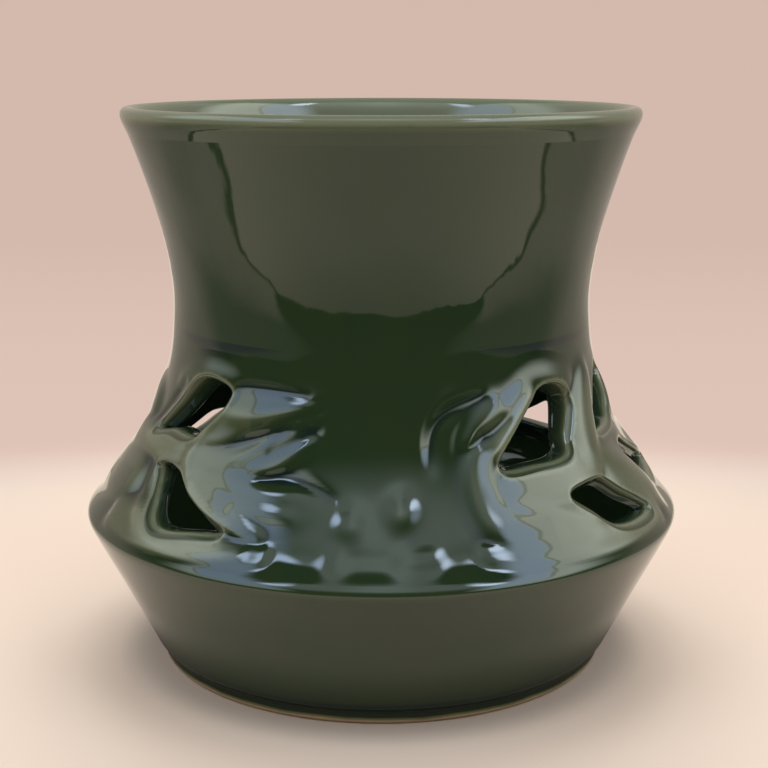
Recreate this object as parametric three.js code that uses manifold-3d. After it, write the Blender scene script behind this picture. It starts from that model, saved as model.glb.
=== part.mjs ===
// A squat ceramic vase: a conical bowl on a foot ring, a sharp keel, a pierced belt of raised leaves,
// and a waisted neck with a rolled lip. The clay is formed as sections that the potter lutes together,
// each seated flat on the one below. The belt is pressed in four panels, from two moulds used twice.
// Millimetres, +Z up. The origin is the middle of the standing face, and the front looks along -Y.
// Angles round the vase are in degrees from the front, positive towards +X.

import * as THREE from 'three';
import { mergeVertices } from 'three/addons/utils/BufferGeometryUtils.js';
import Module from 'manifold-3d';

// Foot ring: bare clay, set back under the flare of the bowl
const footHeight = 5;
const footRadius = 74.5;
const footWidth = 12;
const footTaper = 1.5;
const footChamfer = 1.2;

// Bowl: a nearly straight cone up to the rounded keel
const bowlHeight = 47;
const bowlFootRadius = 75.6;
const keelRadius = 98.6;
const bowlWall = 7;
const floorThickness = 6.5;
const floorFillet = 9;

// Belt: the shoulder that carries the leaves and the piercings
const beltHeight = 60;
const beltWall = 7.8;
const leafRise = 2.6;
const rimRise = 0.2;
const rimWidth = 3.4;
const cutOverrun = 6;
const edgeFlare = 2;

// Neck: waisted just above the belt
const neckHeight = 60;
const waistRadius = 68.1;
const neckTopRadius = 80.9;
const neckWall = 5.6;

// Lip: rolls outwards and over
const lipHeight = 8.2;
const lipRadius = 83;

// Facets
const turnSegments = 60;
const beltSegments = 132;
const firstSeamAngle = -75;
const panelNames = ['leaf_panel_left', 'leaf_panel_right', 'leaf_panel_back_right', 'leaf_panel_back_left'];
const beltRows = 18;
const beltInnerRows = 5;
const outlineSteps = 18;
const strokeSteps = 24;
const curveSteps = 10;
const lipSteps = 4;

// Heights of the luted joints
const bowlBase = footHeight;
const beltBase = bowlBase + bowlHeight;
const neckBase = beltBase + beltHeight;
const lipBase = neckBase + neckHeight;
const topHeight = lipBase + lipHeight;

// The bowl's outline: share of the way from the foot radius to the keel, share of the bowl's height
const bowlShares = [
  [0, 0], [0.1, 0.065], [0.28, 0.235], [0.52, 0.447], [0.745, 0.66], [0.88, 0.787], [0.965, 0.872],
  [1, 0.945], [0.968, 1],
];

// The belt's ground under the leaves: share of the way from the waist to the keel, share of its height
const beltShares = [
  [0.968, 0], [0.921, 0.033], [0.86, 0.067], [0.733, 0.133], [0.564, 0.233], [0.424, 0.333],
  [0.274, 0.467], [0.163, 0.6], [0.088, 0.733], [0.036, 0.867], [0.012, 1],
];

// The neck's outline: share of the way from the waist to the top radius, share of the neck's height
const neckShares = [
  [0.014, 0], [0, 0.067], [0.039, 0.233], [0.156, 0.4], [0.336, 0.567], [0.578, 0.733],
  [0.828, 0.9], [1, 1],
];

// Where the lip is widest, and how far its crown and its throat lie in from there
const lipWidestShare = 0.56;
const lipCrownShare = 0.42;
const lipThroatShare = 0.55;

// Piercings of one half turn: outlines as angle and share of the belt's height.
// The upper ones lean to the right and the lower ones to the left, with a stalk between them.
const piercingShares = [
  [[-66.5, 0.487], [-59, 0.51], [-50, 0.515], [-45, 0.592], [-40.2, 0.7], [-40, 0.773],
    [-46.5, 0.807], [-52.5, 0.767], [-60, 0.627]],
  [[-56.8, 0.343], [-51.5, 0.36], [-45, 0.297], [-38, 0.217], [-31.5, 0.15], [-38, 0.123],
    [-46.5, 0.107], [-52, 0.19], [-55.6, 0.3]],
  [[27, 0.433], [32, 0.577], [38, 0.7], [43.5, 0.773], [50, 0.76], [53.2, 0.683], [49, 0.533],
    [45.5, 0.438], [36, 0.423]],
  [[42.2, 0.267], [46.5, 0.293], [53, 0.287], [58, 0.2], [64.2, 0.097], [58, 0.077], [50.5, 0.1],
    [46, 0.183]],
  [[61.5, 0.5], [67, 0.6], [73, 0.717], [80, 0.783], [87, 0.757], [89, 0.677], [83, 0.563],
    [77, 0.49], [69, 0.473]],
  [[72, 0.343], [78, 0.36], [84, 0.3], [91, 0.217], [96.6, 0.147], [91, 0.113], [82, 0.113],
    [77, 0.193], [73.5, 0.283]],
];

// Brush strokes that model the leaves of one half turn. Each has a path of angle and share of the
// belt's height, half widths at its start, middle and end as shares of the belt's height, and rises
// there as shares of the full rise. Broad strokes are level across: blades, stalks and branches.
const bladeShares = [
  {
    path: [[-45, 0.533], [-33, 0.64], [-17, 0.733]],
    widthShares: [0.167, 0.143, 0.073],
    riseShares: [0.73, 0.65, 0.27],
  },
  {
    path: [[-46, 0.45], [-32, 0.46], [-17, 0.567]],
    widthShares: [0.167, 0.15, 0.083],
    riseShares: [0.77, 0.65, 0.27],
  },
  {
    path: [[-46, 0.4], [-30, 0.323], [-14, 0.283]],
    widthShares: [0.15, 0.14, 0.117],
    riseShares: [0.81, 0.65, 0.19],
  },
  {
    path: [[-43, 0.333], [-32, 0.233], [-22.4, 0.15]],
    widthShares: [0.1, 0.08, 0.037],
    riseShares: [0.85, 0.73, 0.23],
  },
  {
    path: [[-82, 0.41], [-62, 0.423], [-46, 0.433]],
    widthShares: [0.133, 0.093, 0.117],
    riseShares: [0.92, 0.88, 0.88],
  },
  {
    path: [[-88, 0.233], [-74, 0.24], [-63, 0.25]],
    widthShares: [0.233, 0.217, 0.14],
    riseShares: [0.85, 0.96, 0.96],
  },
  {
    path: [[-64, 0.093], [-46, 0.073], [-33, 0.077], [-21, 0.083]],
    widthShares: [0.123, 0.107, 0.057],
    riseShares: [0.85, 0.77, 0.31],
  },
  {
    path: [[-96, 0.567], [-86, 0.583], [-76, 0.557]],
    widthShares: [0.15, 0.167, 0.117],
    riseShares: [0.54, 0.69, 0.62],
  },
  {
    path: [[25, 0.533], [29, 0.627], [39, 0.767]],
    widthShares: [0.1, 0.123, 0.117],
    riseShares: [0.62, 0.73, 0.62],
  },
  {
    path: [[24.4, 0.55], [21.8, 0.417], [22, 0.267], [26, 0.173], [36, 0.117]],
    widthShares: [0.09, 0.103, 0.09],
    riseShares: [0.54, 0.88, 0.58],
  },
  {
    path: [[26, 0.35], [40, 0.343], [55, 0.4]],
    widthShares: [0.1, 0.133, 0.15],
    riseShares: [0.5, 0.77, 1],
  },
  {
    path: [[26, 0.25], [33, 0.2], [46, 0.15]],
    widthShares: [0.1, 0.127, 0.123],
    riseShares: [0.5, 0.69, 0.81],
  },
  {
    path: [[18.6, 0.1], [30, 0.087], [48, 0.073], [68, 0.083]],
    widthShares: [0.06, 0.107, 0.107],
    riseShares: [0.31, 0.77, 0.77],
  },
  {
    path: [[53, 0.4], [57.6, 0.583], [65, 0.783]],
    widthShares: [0.167, 0.15, 0.107],
    riseShares: [1, 1, 0.46],
  },
  {
    path: [[57, 0.367], [67, 0.233], [74, 0.1]],
    widthShares: [0.167, 0.183, 0.15],
    riseShares: [1, 1, 0.85],
  },
];

// Soft strokes are added on top: crests and tips, and with negative rises the hollows between
const crestShares = [
  {
    path: [[-63, 0.733], [-55, 0.807], [-47, 0.833], [-37, 0.823]],
    widthShares: [0.083, 0.123, 0.107],
    riseShares: [0.12, 0.48, 0.19],
  },
  {
    path: [[34, 0.793], [43, 0.823], [56, 0.783]],
    widthShares: [0.083, 0.123, 0.1],
    riseShares: [0.12, 0.48, 0.31],
  },
  {
    path: [[-39, 0.667], [-31, 0.667], [-23, 0.707], [-15, 0.747]],
    widthShares: [0.077, 0.073, 0.033],
    riseShares: [0.08, 0.23, 0.12],
  },
  {
    path: [[-40, 0.443], [-34.6, 0.45], [-29.6, 0.507], [-24.6, 0.603]],
    widthShares: [0.077, 0.063, 0.03],
    riseShares: [0.08, 0.27, 0.19],
  },
  {
    path: [[-30, 0.43], [-25, 0.45], [-20, 0.51], [-14.6, 0.59]],
    widthShares: [0.047, 0.057, 0.03],
    riseShares: [0.08, 0.31, 0.15],
  },
  {
    path: [[-47, 0.433], [-45.4, 0.517], [-41.6, 0.642], [-37, 0.757]],
    widthShares: [0.067, 0.06, 0.043],
    riseShares: [0.12, 0.23, 0.12],
  },
  {
    path: [[-47, 0.433], [-44.6, 0.333], [-38, 0.247], [-31, 0.193], [-24.6, 0.14]],
    widthShares: [0.067, 0.053, 0.033],
    riseShares: [0.12, 0.27, 0.04],
  },
  {
    path: [[-14, 0.36], [-7, 0.313], [-2, 0.243]],
    widthShares: [0.083, 0.127, 0.077],
    riseShares: [0.08, 0.5, 0.12],
  },
  {
    path: [[-21, 0.217], [-13, 0.217], [-5, 0.19]],
    widthShares: [0.077, 0.127, 0.083],
    riseShares: [0.12, 0.58, 0.15],
  },
  {
    path: [[-0.4, 0.257], [3.2, 0.35], [6.4, 0.45]],
    widthShares: [0.077, 0.133, 0.083],
    riseShares: [0.15, 0.54, 0.15],
  },
  {
    path: [[3, 0.183], [9, 0.23], [15.4, 0.25]],
    widthShares: [0.077, 0.127, 0.083],
    riseShares: [0.19, 0.69, 0.15],
  },
  {
    path: [[18.8, 0.543], [22.6, 0.643], [29, 0.75]],
    widthShares: [0.047, 0.083, 0.077],
    riseShares: [0.19, 0.5, 0.31],
  },
  {
    path: [[25, 0.483], [29, 0.58], [38.4, 0.767]],
    widthShares: [0.05, 0.063, 0.05],
    riseShares: [0.12, 0.23, 0.15],
  },
  {
    path: [[-59, 0.35], [-57, 0.217], [-52.6, 0.11], [-46, 0.063], [-36, 0.06], [-25, 0.083]],
    widthShares: [0.057, 0.07, 0.05],
    riseShares: [0.12, 0.35, 0.12],
  },
  {
    path: [[-70, 0.507], [-63, 0.657], [-57.4, 0.767]],
    widthShares: [0.043, 0.06, 0.043],
    riseShares: [-0.12, -0.27, -0.12],
  },
  {
    path: [[-43, 0.49], [-36, 0.513], [-29, 0.567], [-20.6, 0.653]],
    widthShares: [0.027, 0.05, 0.033],
    riseShares: [-0.08, -0.37, -0.19],
  },
  {
    path: [[-27, 0.393], [-21, 0.407], [-15, 0.383], [-9, 0.313]],
    widthShares: [0.027, 0.05, 0.04],
    riseShares: [-0.08, -0.31, -0.15],
  },
  {
    path: [[26, 0.777], [13.4, 0.673], [11, 0.45]],
    widthShares: [0.057, 0.09, 0.073],
    riseShares: [-0.12, -0.31, -0.15],
  },
];

// A stroke's bell is narrower than its half width, and a broad one is levelled by this much
const bellShare = 0.55;
const levelSharpness = 3;

// Where the relief fades out above the keel and below the neck, as shares of the belt's height
const leafStartShares = [0, 0.05];
const leafEndShares = [0.9, 0.99];

// The leaves and piercings repeat after half a turn
const halfTurn = 180;

// A piercing narrows inwards to this share of its outline, about the middle of its sill
const narrowShare = 0.88;

// How sharply broad strokes stay apart where they meet
const ridgeSharpness = 3;

// The neck's wall thins from the belt's to its own over this share of its height
const thinningShare = 0.33;

// Colours read from the photograph
const glazeDark = { color: 0x2f4a2f, roughness: 0.12, metalness: 0 };
const glazeLeaf = { color: 0x4a6145, roughness: 0.14, metalness: 0 };
const glazeNeck = { color: 0x3c5236, roughness: 0.1, metalness: 0 };
const glazeLip = { color: 0x5c7350, roughness: 0.12, metalness: 0 };
const bareClay = { color: 0x9a7a52, roughness: 0.7, metalness: 0 };

// Points (radius, height) of an outline whose table holds shares of a radius span and of a height
function outlinePoints(shares, radiusStart, radiusEnd, base, height) {
  return shares.map(([radiusShare, heightShare]) => new THREE.Vector2(
    THREE.MathUtils.lerp(radiusStart, radiusEnd, radiusShare),
    base + height * heightShare,
  ));
}

const bowlOutline = new THREE.SplineCurve(
  outlinePoints(bowlShares, bowlFootRadius, keelRadius, bowlBase, bowlHeight),
);
const beltOutline = new THREE.SplineCurve(
  [
    bowlOutline.points.at(-1),
    ...outlinePoints(beltShares, waistRadius, keelRadius, beltBase, beltHeight).slice(1),
  ],
);
const neckOutline = new THREE.SplineCurve(
  [
    beltOutline.points.at(-1),
    ...outlinePoints(neckShares, waistRadius, neckTopRadius, neckBase, neckHeight).slice(1),
  ],
);

// The radius of an outline at a height, from its own points
function radiusReader(curve) {
  const points = curve.getPoints(curveSteps * curveSteps);
  return (height) => {
    const above = points.findIndex((point) => point.y >= height);
    if (above < 1) {
      return height > points[0].y ? points.at(-1).x : points[0].x;
    }
    const [low, high] = [points[above - 1], points[above]];
    return THREE.MathUtils.mapLinear(height, low.y, high.y, low.x, high.x);
  };
}

const beltRadius = radiusReader(beltOutline);

function material(finish) {
  return new THREE.MeshStandardMaterial(finish);
}

function namedMesh(name, geometry, finish) {
  const mesh = new THREE.Mesh(geometry, material(finish));
  mesh.name = name;
  return mesh;
}

// Turns an outline of (radius, height) points about the vase's axis
function turned(outline) {
  const geometry = new THREE.LatheGeometry(outline, turnSegments);
  geometry.rotateX(Math.PI / 2);
  return geometry;
}

// Foot ring: an upright band with a chamfered standing edge
function makeFootRing() {
  const innerRadius = footRadius - footWidth;
  const outline = [
    [innerRadius + footTaper, 0],
    [footRadius - footChamfer, 0],
    [footRadius, footChamfer],
    [footRadius, footHeight],
    [innerRadius, footHeight],
    [innerRadius + footTaper, 0],
  ].map(([radius, height]) => new THREE.Vector2(radius, height));
  return namedMesh('foot_ring', turned(outline), bareClay);
}

// Bowl: closed floor, fillet, and a wall that thickens towards the belt
function makeBowl() {
  const outer = bowlOutline.getPoints(curveSteps);
  const floorTop = bowlBase + floorThickness;
  const bowlRadius = radiusReader(bowlOutline);
  const wallTop = beltBase;
  const wallBottom = floorTop + floorFillet;
  const inner = [];
  for (let step = 0; step <= curveSteps / 2; step += 1) {
    const share = step / (curveSteps / 2);
    const height = THREE.MathUtils.lerp(wallTop, wallBottom, share);
    const wall = THREE.MathUtils.lerp(beltWall, bowlWall, share);
    inner.push(new THREE.Vector2(bowlRadius(height) - wall, height));
  }
  const foot = inner.at(-1);
  const fillet = new THREE.QuadraticBezierCurve(
    foot,
    new THREE.Vector2(bowlRadius(floorTop) - bowlWall, floorTop),
    new THREE.Vector2(bowlRadius(floorTop) - bowlWall - floorFillet, floorTop),
  ).getPoints(lipSteps).slice(1);
  const outline = [
    new THREE.Vector2(0, bowlBase),
    ...outer,
    ...inner,
    ...fillet,
    new THREE.Vector2(0, floorTop),
  ];
  return namedMesh('bowl', turned(outline), glazeDark);
}

// Neck: a waisted wall, thickest where it stands on the belt
function makeNeck() {
  const outer = neckOutline.getPoints(curveSteps);
  const inner = outer.map((point) => {
    const share = THREE.MathUtils.smoothstep((point.y - neckBase) / neckHeight, 0, thinningShare);
    const wall = THREE.MathUtils.lerp(beltWall, neckWall, share);
    return new THREE.Vector2(point.x - wall, point.y);
  });
  inner.reverse();
  return namedMesh('neck', turned([...outer, ...inner, outer[0].clone()]), glazeNeck);
}

// Lip: flares to its widest, rolls over the crown and drops to the throat
function makeLip() {
  const start = neckOutline.points.at(-1);
  const widestHeight = lipBase + lipHeight * lipWidestShare;
  const throatRadius = start.x - neckWall;
  const band = lipRadius - throatRadius;
  const crown = new THREE.Vector2(lipRadius - band * lipCrownShare, topHeight);
  const throat = new THREE.Vector2(throatRadius + band * (1 - lipThroatShare) / 2, widestHeight);
  const widest = new THREE.Vector2(lipRadius, widestHeight);
  const outer = new THREE.QuadraticBezierCurve(
    start,
    new THREE.Vector2(lipRadius, THREE.MathUtils.lerp(lipBase, widestHeight, lipThroatShare)),
    widest,
  ).getPoints(lipSteps / 2);
  const over = new THREE.QuadraticBezierCurve(
    widest,
    new THREE.Vector2(lipRadius, topHeight),
    crown,
  ).getPoints(lipSteps / 2).slice(1);
  const down = new THREE.QuadraticBezierCurve(
    crown,
    new THREE.Vector2(throat.x, topHeight),
    throat,
  ).getPoints(lipSteps / 2).slice(1);
  const outline = [
    ...outer,
    ...over,
    ...down,
    new THREE.Vector2(throatRadius, lipBase),
    start.clone(),
  ];
  return namedMesh('lip', turned(outline), glazeLip);
}

// Belt as a chart: x runs round the vase at the belt's mean radius, y is the height above its base
const chartRadius = (waistRadius + keelRadius) / 2;

function chartPoint([angle, heightShare]) {
  return new THREE.Vector2(THREE.MathUtils.degToRad(angle) * chartRadius, heightShare * beltHeight);
}

// A value that runs on a parabola through its start, middle and end
function threeWay([start, middle, end], way) {
  const bend = 2 * (start + end) - 4 * middle;
  return start + (end - start - bend) * way + bend * way * way;
}

// A stroke as dabs along its path, each with its own place, width and rise
function brushStroke({ path, widthShares, riseShares }) {
  const line = new THREE.SplineCurve(path.map(chartPoint)).getPoints(strokeSteps);
  const dabs = line.slice(1).map((end, index) => {
    const start = line[index];
    const way = (index + 1 / 2) / strokeSteps;
    const width = threeWay(widthShares, way) * beltHeight * bellShare;
    return {
      middle: start.clone().lerp(end, 1 / 2),
      weight: start.distanceTo(end) / (width * Math.sqrt(Math.PI)),
      width,
      rise: threeWay(riseShares, way) * leafRise,
    };
  });
  const angles = path.map(([angle]) => angle);
  const middleAngle = angles.reduce((sum, angle) => sum + angle) / angles.length;
  return { dabs, middleAngle };
}

const blades = bladeShares.map(brushStroke);
const crests = crestShares.map(brushStroke);

// The turn of the belt in which a point lies nearest to an angle
function nearTurn(angle, middleAngle) {
  return angle - Math.round((angle - middleAngle) / halfTurn) * halfTurn;
}

// A stroke's cover and rise at a point: bell curves of the distance, one for each dab
function strokeAt({ dabs, middleAngle }, angle, heightShare) {
  const point = chartPoint([nearTurn(angle, middleAngle), heightShare]);
  let cover = 0;
  let rise = 0;
  for (const dab of dabs) {
    const bell = dab.weight * Math.exp(-((point.distanceTo(dab.middle) / dab.width) ** 2));
    cover += bell;
    rise += bell * dab.rise;
  }
  return { cover, rise };
}

const openings = piercingShares.map((outlineShares) => {
  const corners = outlineShares.map(chartPoint).map(({ x, y }) => new THREE.Vector3(x, y, 0));
  const curve = new THREE.CatmullRomCurve3(corners, true);
  const outline = curve.getPoints(outlineSteps).slice(1).map(({ x, y }) => new THREE.Vector2(x, y));
  if (THREE.ShapeUtils.isClockWise(outline)) {
    outline.reverse();
  }
  const angles = outlineShares.map(([angle]) => angle);
  return { outline, middleAngle: angles.reduce((sum, angle) => sum + angle) / angles.length };
});

// Distance from a point of the belt to the nearest corner of a piercing's outline
function piercingDistance(angle, heightShare) {
  return Math.min(...openings.map(({ outline, middleAngle }) => {
    const point = chartPoint([nearTurn(angle, middleAngle), heightShare]);
    return Math.min(...outline.map((corner) => corner.distanceTo(point)));
  }));
}

// Rise of the leaves over the ground: broad forms that melt into each other where they meet, with
// the soft strokes added, and a low rim round each piercing
function leafRiseAt(angle, height) {
  const heightShare = (height - beltBase) / beltHeight;
  let sum = 0;
  for (const blade of blades) {
    const { cover, rise } = strokeAt(blade, angle, heightShare);
    if (cover > Number.EPSILON) {
      sum += (rise / cover * (1 - Math.exp(-levelSharpness * cover))) ** ridgeSharpness;
    }
  }
  let total = sum ** (1 / ridgeSharpness);
  for (const crest of crests) {
    total += strokeAt(crest, angle, heightShare).rise;
  }
  total += rimRise * Math.exp(-((piercingDistance(angle, heightShare) / rimWidth) ** 2));
  const start = THREE.MathUtils.smoothstep(heightShare, ...leafStartShares);
  return total * start * (1 - THREE.MathUtils.smoothstep(heightShare, ...leafEndShares));
}

function polar(angle, radius, height) {
  const turn = THREE.MathUtils.degToRad(angle);
  return [radius * Math.sin(turn), -radius * Math.cos(turn), height];
}

// Geometry from numbered points and triangles, with the points that coincide merged
function solidFrom(positions, indices) {
  const geometry = new THREE.BufferGeometry();
  geometry.setAttribute('position', new THREE.Float32BufferAttribute(positions, 3));
  geometry.setIndex(indices);
  return mergeVertices(geometry);
}

// The belt's wall before it is pierced: a loop of outer and inner points at each angle
function beltWallGeometry() {
  const loop = [];
  for (let row = 0; row <= beltRows; row += 1) {
    const height = THREE.MathUtils.lerp(beltBase, neckBase, row / beltRows);
    loop.push({ height, inset: 0, raised: true });
  }
  for (let row = 0; row <= beltInnerRows; row += 1) {
    const height = THREE.MathUtils.lerp(neckBase, beltBase, row / beltInnerRows);
    loop.push({ height, inset: beltWall, raised: false });
  }
  const positions = [];
  const indices = [];
  for (let turn = 0; turn < beltSegments; turn += 1) {
    const angle = (turn / beltSegments) * 2 * halfTurn;
    loop.forEach(({ height, inset, raised }, place) => {
      const rise = raised ? leafRiseAt(angle, height) : 0;
      positions.push(...polar(angle, beltRadius(height) - inset + rise, height));
      const nextTurn = ((turn + 1) % beltSegments) * loop.length;
      const nextPlace = (place + 1) % loop.length;
      const here = turn * loop.length;
      indices.push(here + place, nextTurn + place, nextTurn + nextPlace);
      indices.push(here + place, nextTurn + nextPlace, here + nextPlace);
    });
  }
  return solidFrom(positions, indices);
}

// A chart outline that runs anticlockwise, pushed out by a distance
function grownOutline(outline, distance) {
  return outline.map((point, index) => {
    const before = outline.at(index - 1);
    const after = outline[(index + 1) % outline.length];
    const along = after.clone().sub(before).normalize();
    return new THREE.Vector2(point.x + along.y * distance, point.y - along.x * distance);
  });
}

// An outline drawn together about the middle of its sill, its lowest edge
function narrowed(outline) {
  const sill = new THREE.Box2().setFromPoints(outline);
  const anchor = new THREE.Vector2((sill.min.x + sill.max.x) / 2, sill.min.y);
  return outline.map((point) => point.clone().lerp(anchor, 1 - narrowShare));
}

// One piercing's cutter: a plug through the wall, flared outside and narrower towards the inside
function piercingGeometry(outline, turn) {
  const narrow = narrowed(outline);
  const layers = [
    { depth: leafRise + cutOverrun, loop: grownOutline(outline, edgeFlare) },
    { depth: leafRise, loop: grownOutline(outline, edgeFlare) },
    { depth: 0, loop: outline },
    { depth: -beltWall, loop: narrow },
    { depth: -beltWall - cutOverrun, loop: narrow },
  ];
  const positions = [];
  for (const { depth, loop } of layers) {
    for (const { x, y } of loop) {
      const height = beltBase + y;
      const angle = THREE.MathUtils.radToDeg(x / chartRadius) + turn;
      positions.push(...polar(angle, beltRadius(height) + depth, height));
    }
  }
  const count = outline.length;
  const indices = [];
  for (let layer = 1; layer < layers.length; layer += 1) {
    for (let index = 0; index < count; index += 1) {
      const next = (index + 1) % count;
      const [above, below] = [(layer - 1) * count, layer * count];
      indices.push(above + index, below + index, below + next);
      indices.push(above + index, below + next, above + next);
    }
  }
  const last = (layers.length - 1) * count;
  for (const [a, b, c] of THREE.ShapeUtils.triangulateShape(outline, [])) {
    indices.push(a, b, c);
    indices.push(last + c, last + b, last + a);
  }
  return solidFrom(positions, indices);
}

const wasm = await Module();
wasm.setup();

function toManifold(geometry) {
  return new wasm.Manifold(new wasm.Mesh({
    numProp: 3,
    vertProperties: geometry.getAttribute('position').array,
    triVerts: Uint32Array.from(geometry.getIndex().array),
  }));
}

function fromManifold(solid) {
  const { vertProperties, triVerts } = solid.getMesh();
  return solidFrom(Array.from(vertProperties), Array.from(triVerts));
}

// One side of the upright plane through the axis at an angle: the side that larger angles lie on
function beyondSeam(solid, angle) {
  const seam = THREE.MathUtils.degToRad(angle);
  return solid.trimByPlane([Math.cos(seam), Math.sin(seam), 0], 0);
}

// Belt: the leaf wall with every piercing cut through it, twice round, parted at the upright seams
function makeBeltPanels() {
  let solid = toManifold(beltWallGeometry());
  for (const turn of [0, halfTurn]) {
    for (const { outline } of openings) {
      solid = solid.subtract(toManifold(piercingGeometry(outline, turn)));
    }
  }
  const quarterTurn = halfTurn / 2;
  return panelNames.map((name, index) => {
    const start = firstSeamAngle + index * quarterTurn;
    const panel = beyondSeam(beyondSeam(solid, start), start + quarterTurn - halfTurn);
    return namedMesh(name, fromManifold(panel), glazeLeaf);
  });
}

const vase = new THREE.Group();
vase.add(makeFootRing(), makeBowl(), ...makeBeltPanels(), makeNeck(), makeLip());

export default vase;
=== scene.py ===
"""A squat ceramic vase with a pierced belt of leaves, finished in a glossy dark green glaze.

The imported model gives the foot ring, the bowl, four pressed leaf panels, the neck and the lip. Each
section gets a finer surface here, worked out from one outer form, so that the glaze runs over the
luted joints without a break, and the four panels become one belt.

Lengths are in millimetres until a mesh is made. Angles round the vase are in degrees from the
front, positive towards +X, and heights are above the standing face.
"""

import logging
import math
from dataclasses import dataclass, field
from enum import Enum
from typing import Any, ClassVar, Sequence

import bpy
import numpy as np
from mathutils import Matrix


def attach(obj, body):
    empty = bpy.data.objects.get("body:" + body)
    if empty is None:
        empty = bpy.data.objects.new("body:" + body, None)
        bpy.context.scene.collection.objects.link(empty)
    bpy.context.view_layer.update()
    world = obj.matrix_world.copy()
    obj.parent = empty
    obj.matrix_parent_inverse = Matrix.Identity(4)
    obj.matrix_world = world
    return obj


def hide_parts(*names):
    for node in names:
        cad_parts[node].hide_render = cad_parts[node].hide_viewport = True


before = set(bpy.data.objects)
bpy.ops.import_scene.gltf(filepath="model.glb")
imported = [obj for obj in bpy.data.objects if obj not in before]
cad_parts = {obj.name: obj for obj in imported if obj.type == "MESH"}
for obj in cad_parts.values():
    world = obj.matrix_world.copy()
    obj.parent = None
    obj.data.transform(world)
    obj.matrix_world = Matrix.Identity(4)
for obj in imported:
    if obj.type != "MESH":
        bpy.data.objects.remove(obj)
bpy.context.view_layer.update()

LOG = logging.getLogger("ceramic_vase")
MM = 0.001

# Points in every ring round the vase
COLUMNS = 600
# One degree of the belt's chart, in millimetres at the belt's mean radius
CHART = math.radians(1.0) * 83.0
# The belt's pattern comes round again after half a turn
HALF_TURN = 180.0
# Half the length over which slopes are taken, and a distance beyond every piercing
PROBE = 0.2
FAR = 1e3
UP = np.array([0.0, 0.0, 1.0])

Array = np.ndarray
Colour = tuple[float, float, float]
Span = tuple[float, float]


def smoothstep(value: Array, low: float, high: float) -> Array:
    """Rise from 0 to 1 between two values, level at both ends.

    Args:
        value: The values to map.
        low: Where the rise starts.
        high: Where the rise ends.

    Returns:
        3t squared less 2t cubed, with t the clamped share of the way from low to high.
    """
    share = np.clip((value - low) / (high - low), 0.0, 1.0)
    return share * share * (3.0 - 2.0 * share)


def smooth_min(first: Array, second: Array, rounding: float) -> Array:
    """Blend two surfaces into their lower one with a rounded crease.

    Args:
        first: Values of the first surface.
        second: Values of the second surface.
        rounding: How far the crease is rounded, in the unit of the values.

    Returns:
        Half of the sum less the root of the squared difference and squared rounding.
    """
    return 0.5 * (first + second - np.sqrt((first - second) ** 2 + rounding**2))


def bell(value: Array, middle: float, width: float) -> Array:
    """Give the bell curve: the exponential of minus the squared distance over the width."""
    return np.exp(-(((value - middle) / width) ** 2))


@dataclass(frozen=True)
class SmoothCurve:
    """A natural cubic spline through a few chosen places."""

    knots: tuple[tuple[float, float], ...]

    def __call__(self, at: Array) -> Array:
        """Evaluate the spline.

        Args:
            at: Places between the first and last knot; beyond them the end spans go on.

        Returns:
            The cubic of each span, with second derivatives that join smoothly at the knots.
        """
        places, values = np.array(self.knots, float).T
        span = np.diff(places)
        count = len(places)
        system = np.eye(count)
        right = np.zeros(count)
        inner = np.arange(1, count - 1)
        system[inner, inner - 1] = span[:-1]
        system[inner, inner] = 2.0 * (span[:-1] + span[1:])
        system[inner, inner + 1] = span[1:]
        right[inner] = 6.0 * np.diff(np.diff(values) / span)
        bend = np.linalg.solve(system, right)
        index = np.clip(np.searchsorted(places, at) - 1, 0, count - 2)
        width = span[index]
        after = np.asarray(at) - places[index]
        before = places[index + 1] - np.asarray(at)
        cubic = (bend[index] * before**3 + bend[index + 1] * after**3) / (6.0 * width)
        start = (values[index] / width - bend[index] * width / 6.0) * before
        end = (values[index + 1] / width - bend[index + 1] * width / 6.0) * after
        return cubic + start + end


def smooth_path(points: Sequence[tuple[float, float]], steps: int) -> Array:
    """Carry a smooth path through chart points.

    Args:
        points: Angle and height of each point.
        steps: How many points the path is given.

    Returns:
        Chart points in millimetres, x round the vase and y up, evenly spaced by knot.
    """
    x = tuple((float(i), angle * CHART) for i, (angle, _) in enumerate(points))
    y = tuple((float(i), height) for i, (_, height) in enumerate(points))
    at = np.linspace(0.0, len(points) - 1.0, steps)
    return np.stack([SmoothCurve(x)(at), SmoothCurve(y)(at)], axis=1)


def beside(angle: Array, line: Array) -> Array:
    """Shift angles by whole repeats of the belt until they lie beside a line of chart points."""
    centre = line[:, 0].mean() / CHART
    return (angle - centre + HALF_TURN / 2) % HALF_TURN - HALF_TURN / 2 + centre


def within(x: Array, y: Array, line: Array, margin: float) -> Array:
    """Number the points that lie in a line's box, grown by a margin."""
    low, high = line.min(axis=0) - margin, line.max(axis=0) + margin
    return np.flatnonzero((x > low[0]) & (x < high[0]) & (y > low[1]) & (y < high[1]))


class Section(Enum):
    """How a raised stroke looks when cut across."""

    ROUND = "round"
    BROAD = "broad"


def three_way(values: tuple[float, float, float], way: Array) -> Array:
    """Run a parabola through a start, a middle and an end value.

    Args:
        values: The three values.
        way: The way from start to end, from 0 to 1.

    Returns:
        The value at each place.
    """
    start, middle, end = values
    bend = 2.0 * (start + end) - 4.0 * middle
    return start + (end - start - bend) * way + bend * way * way


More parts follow.
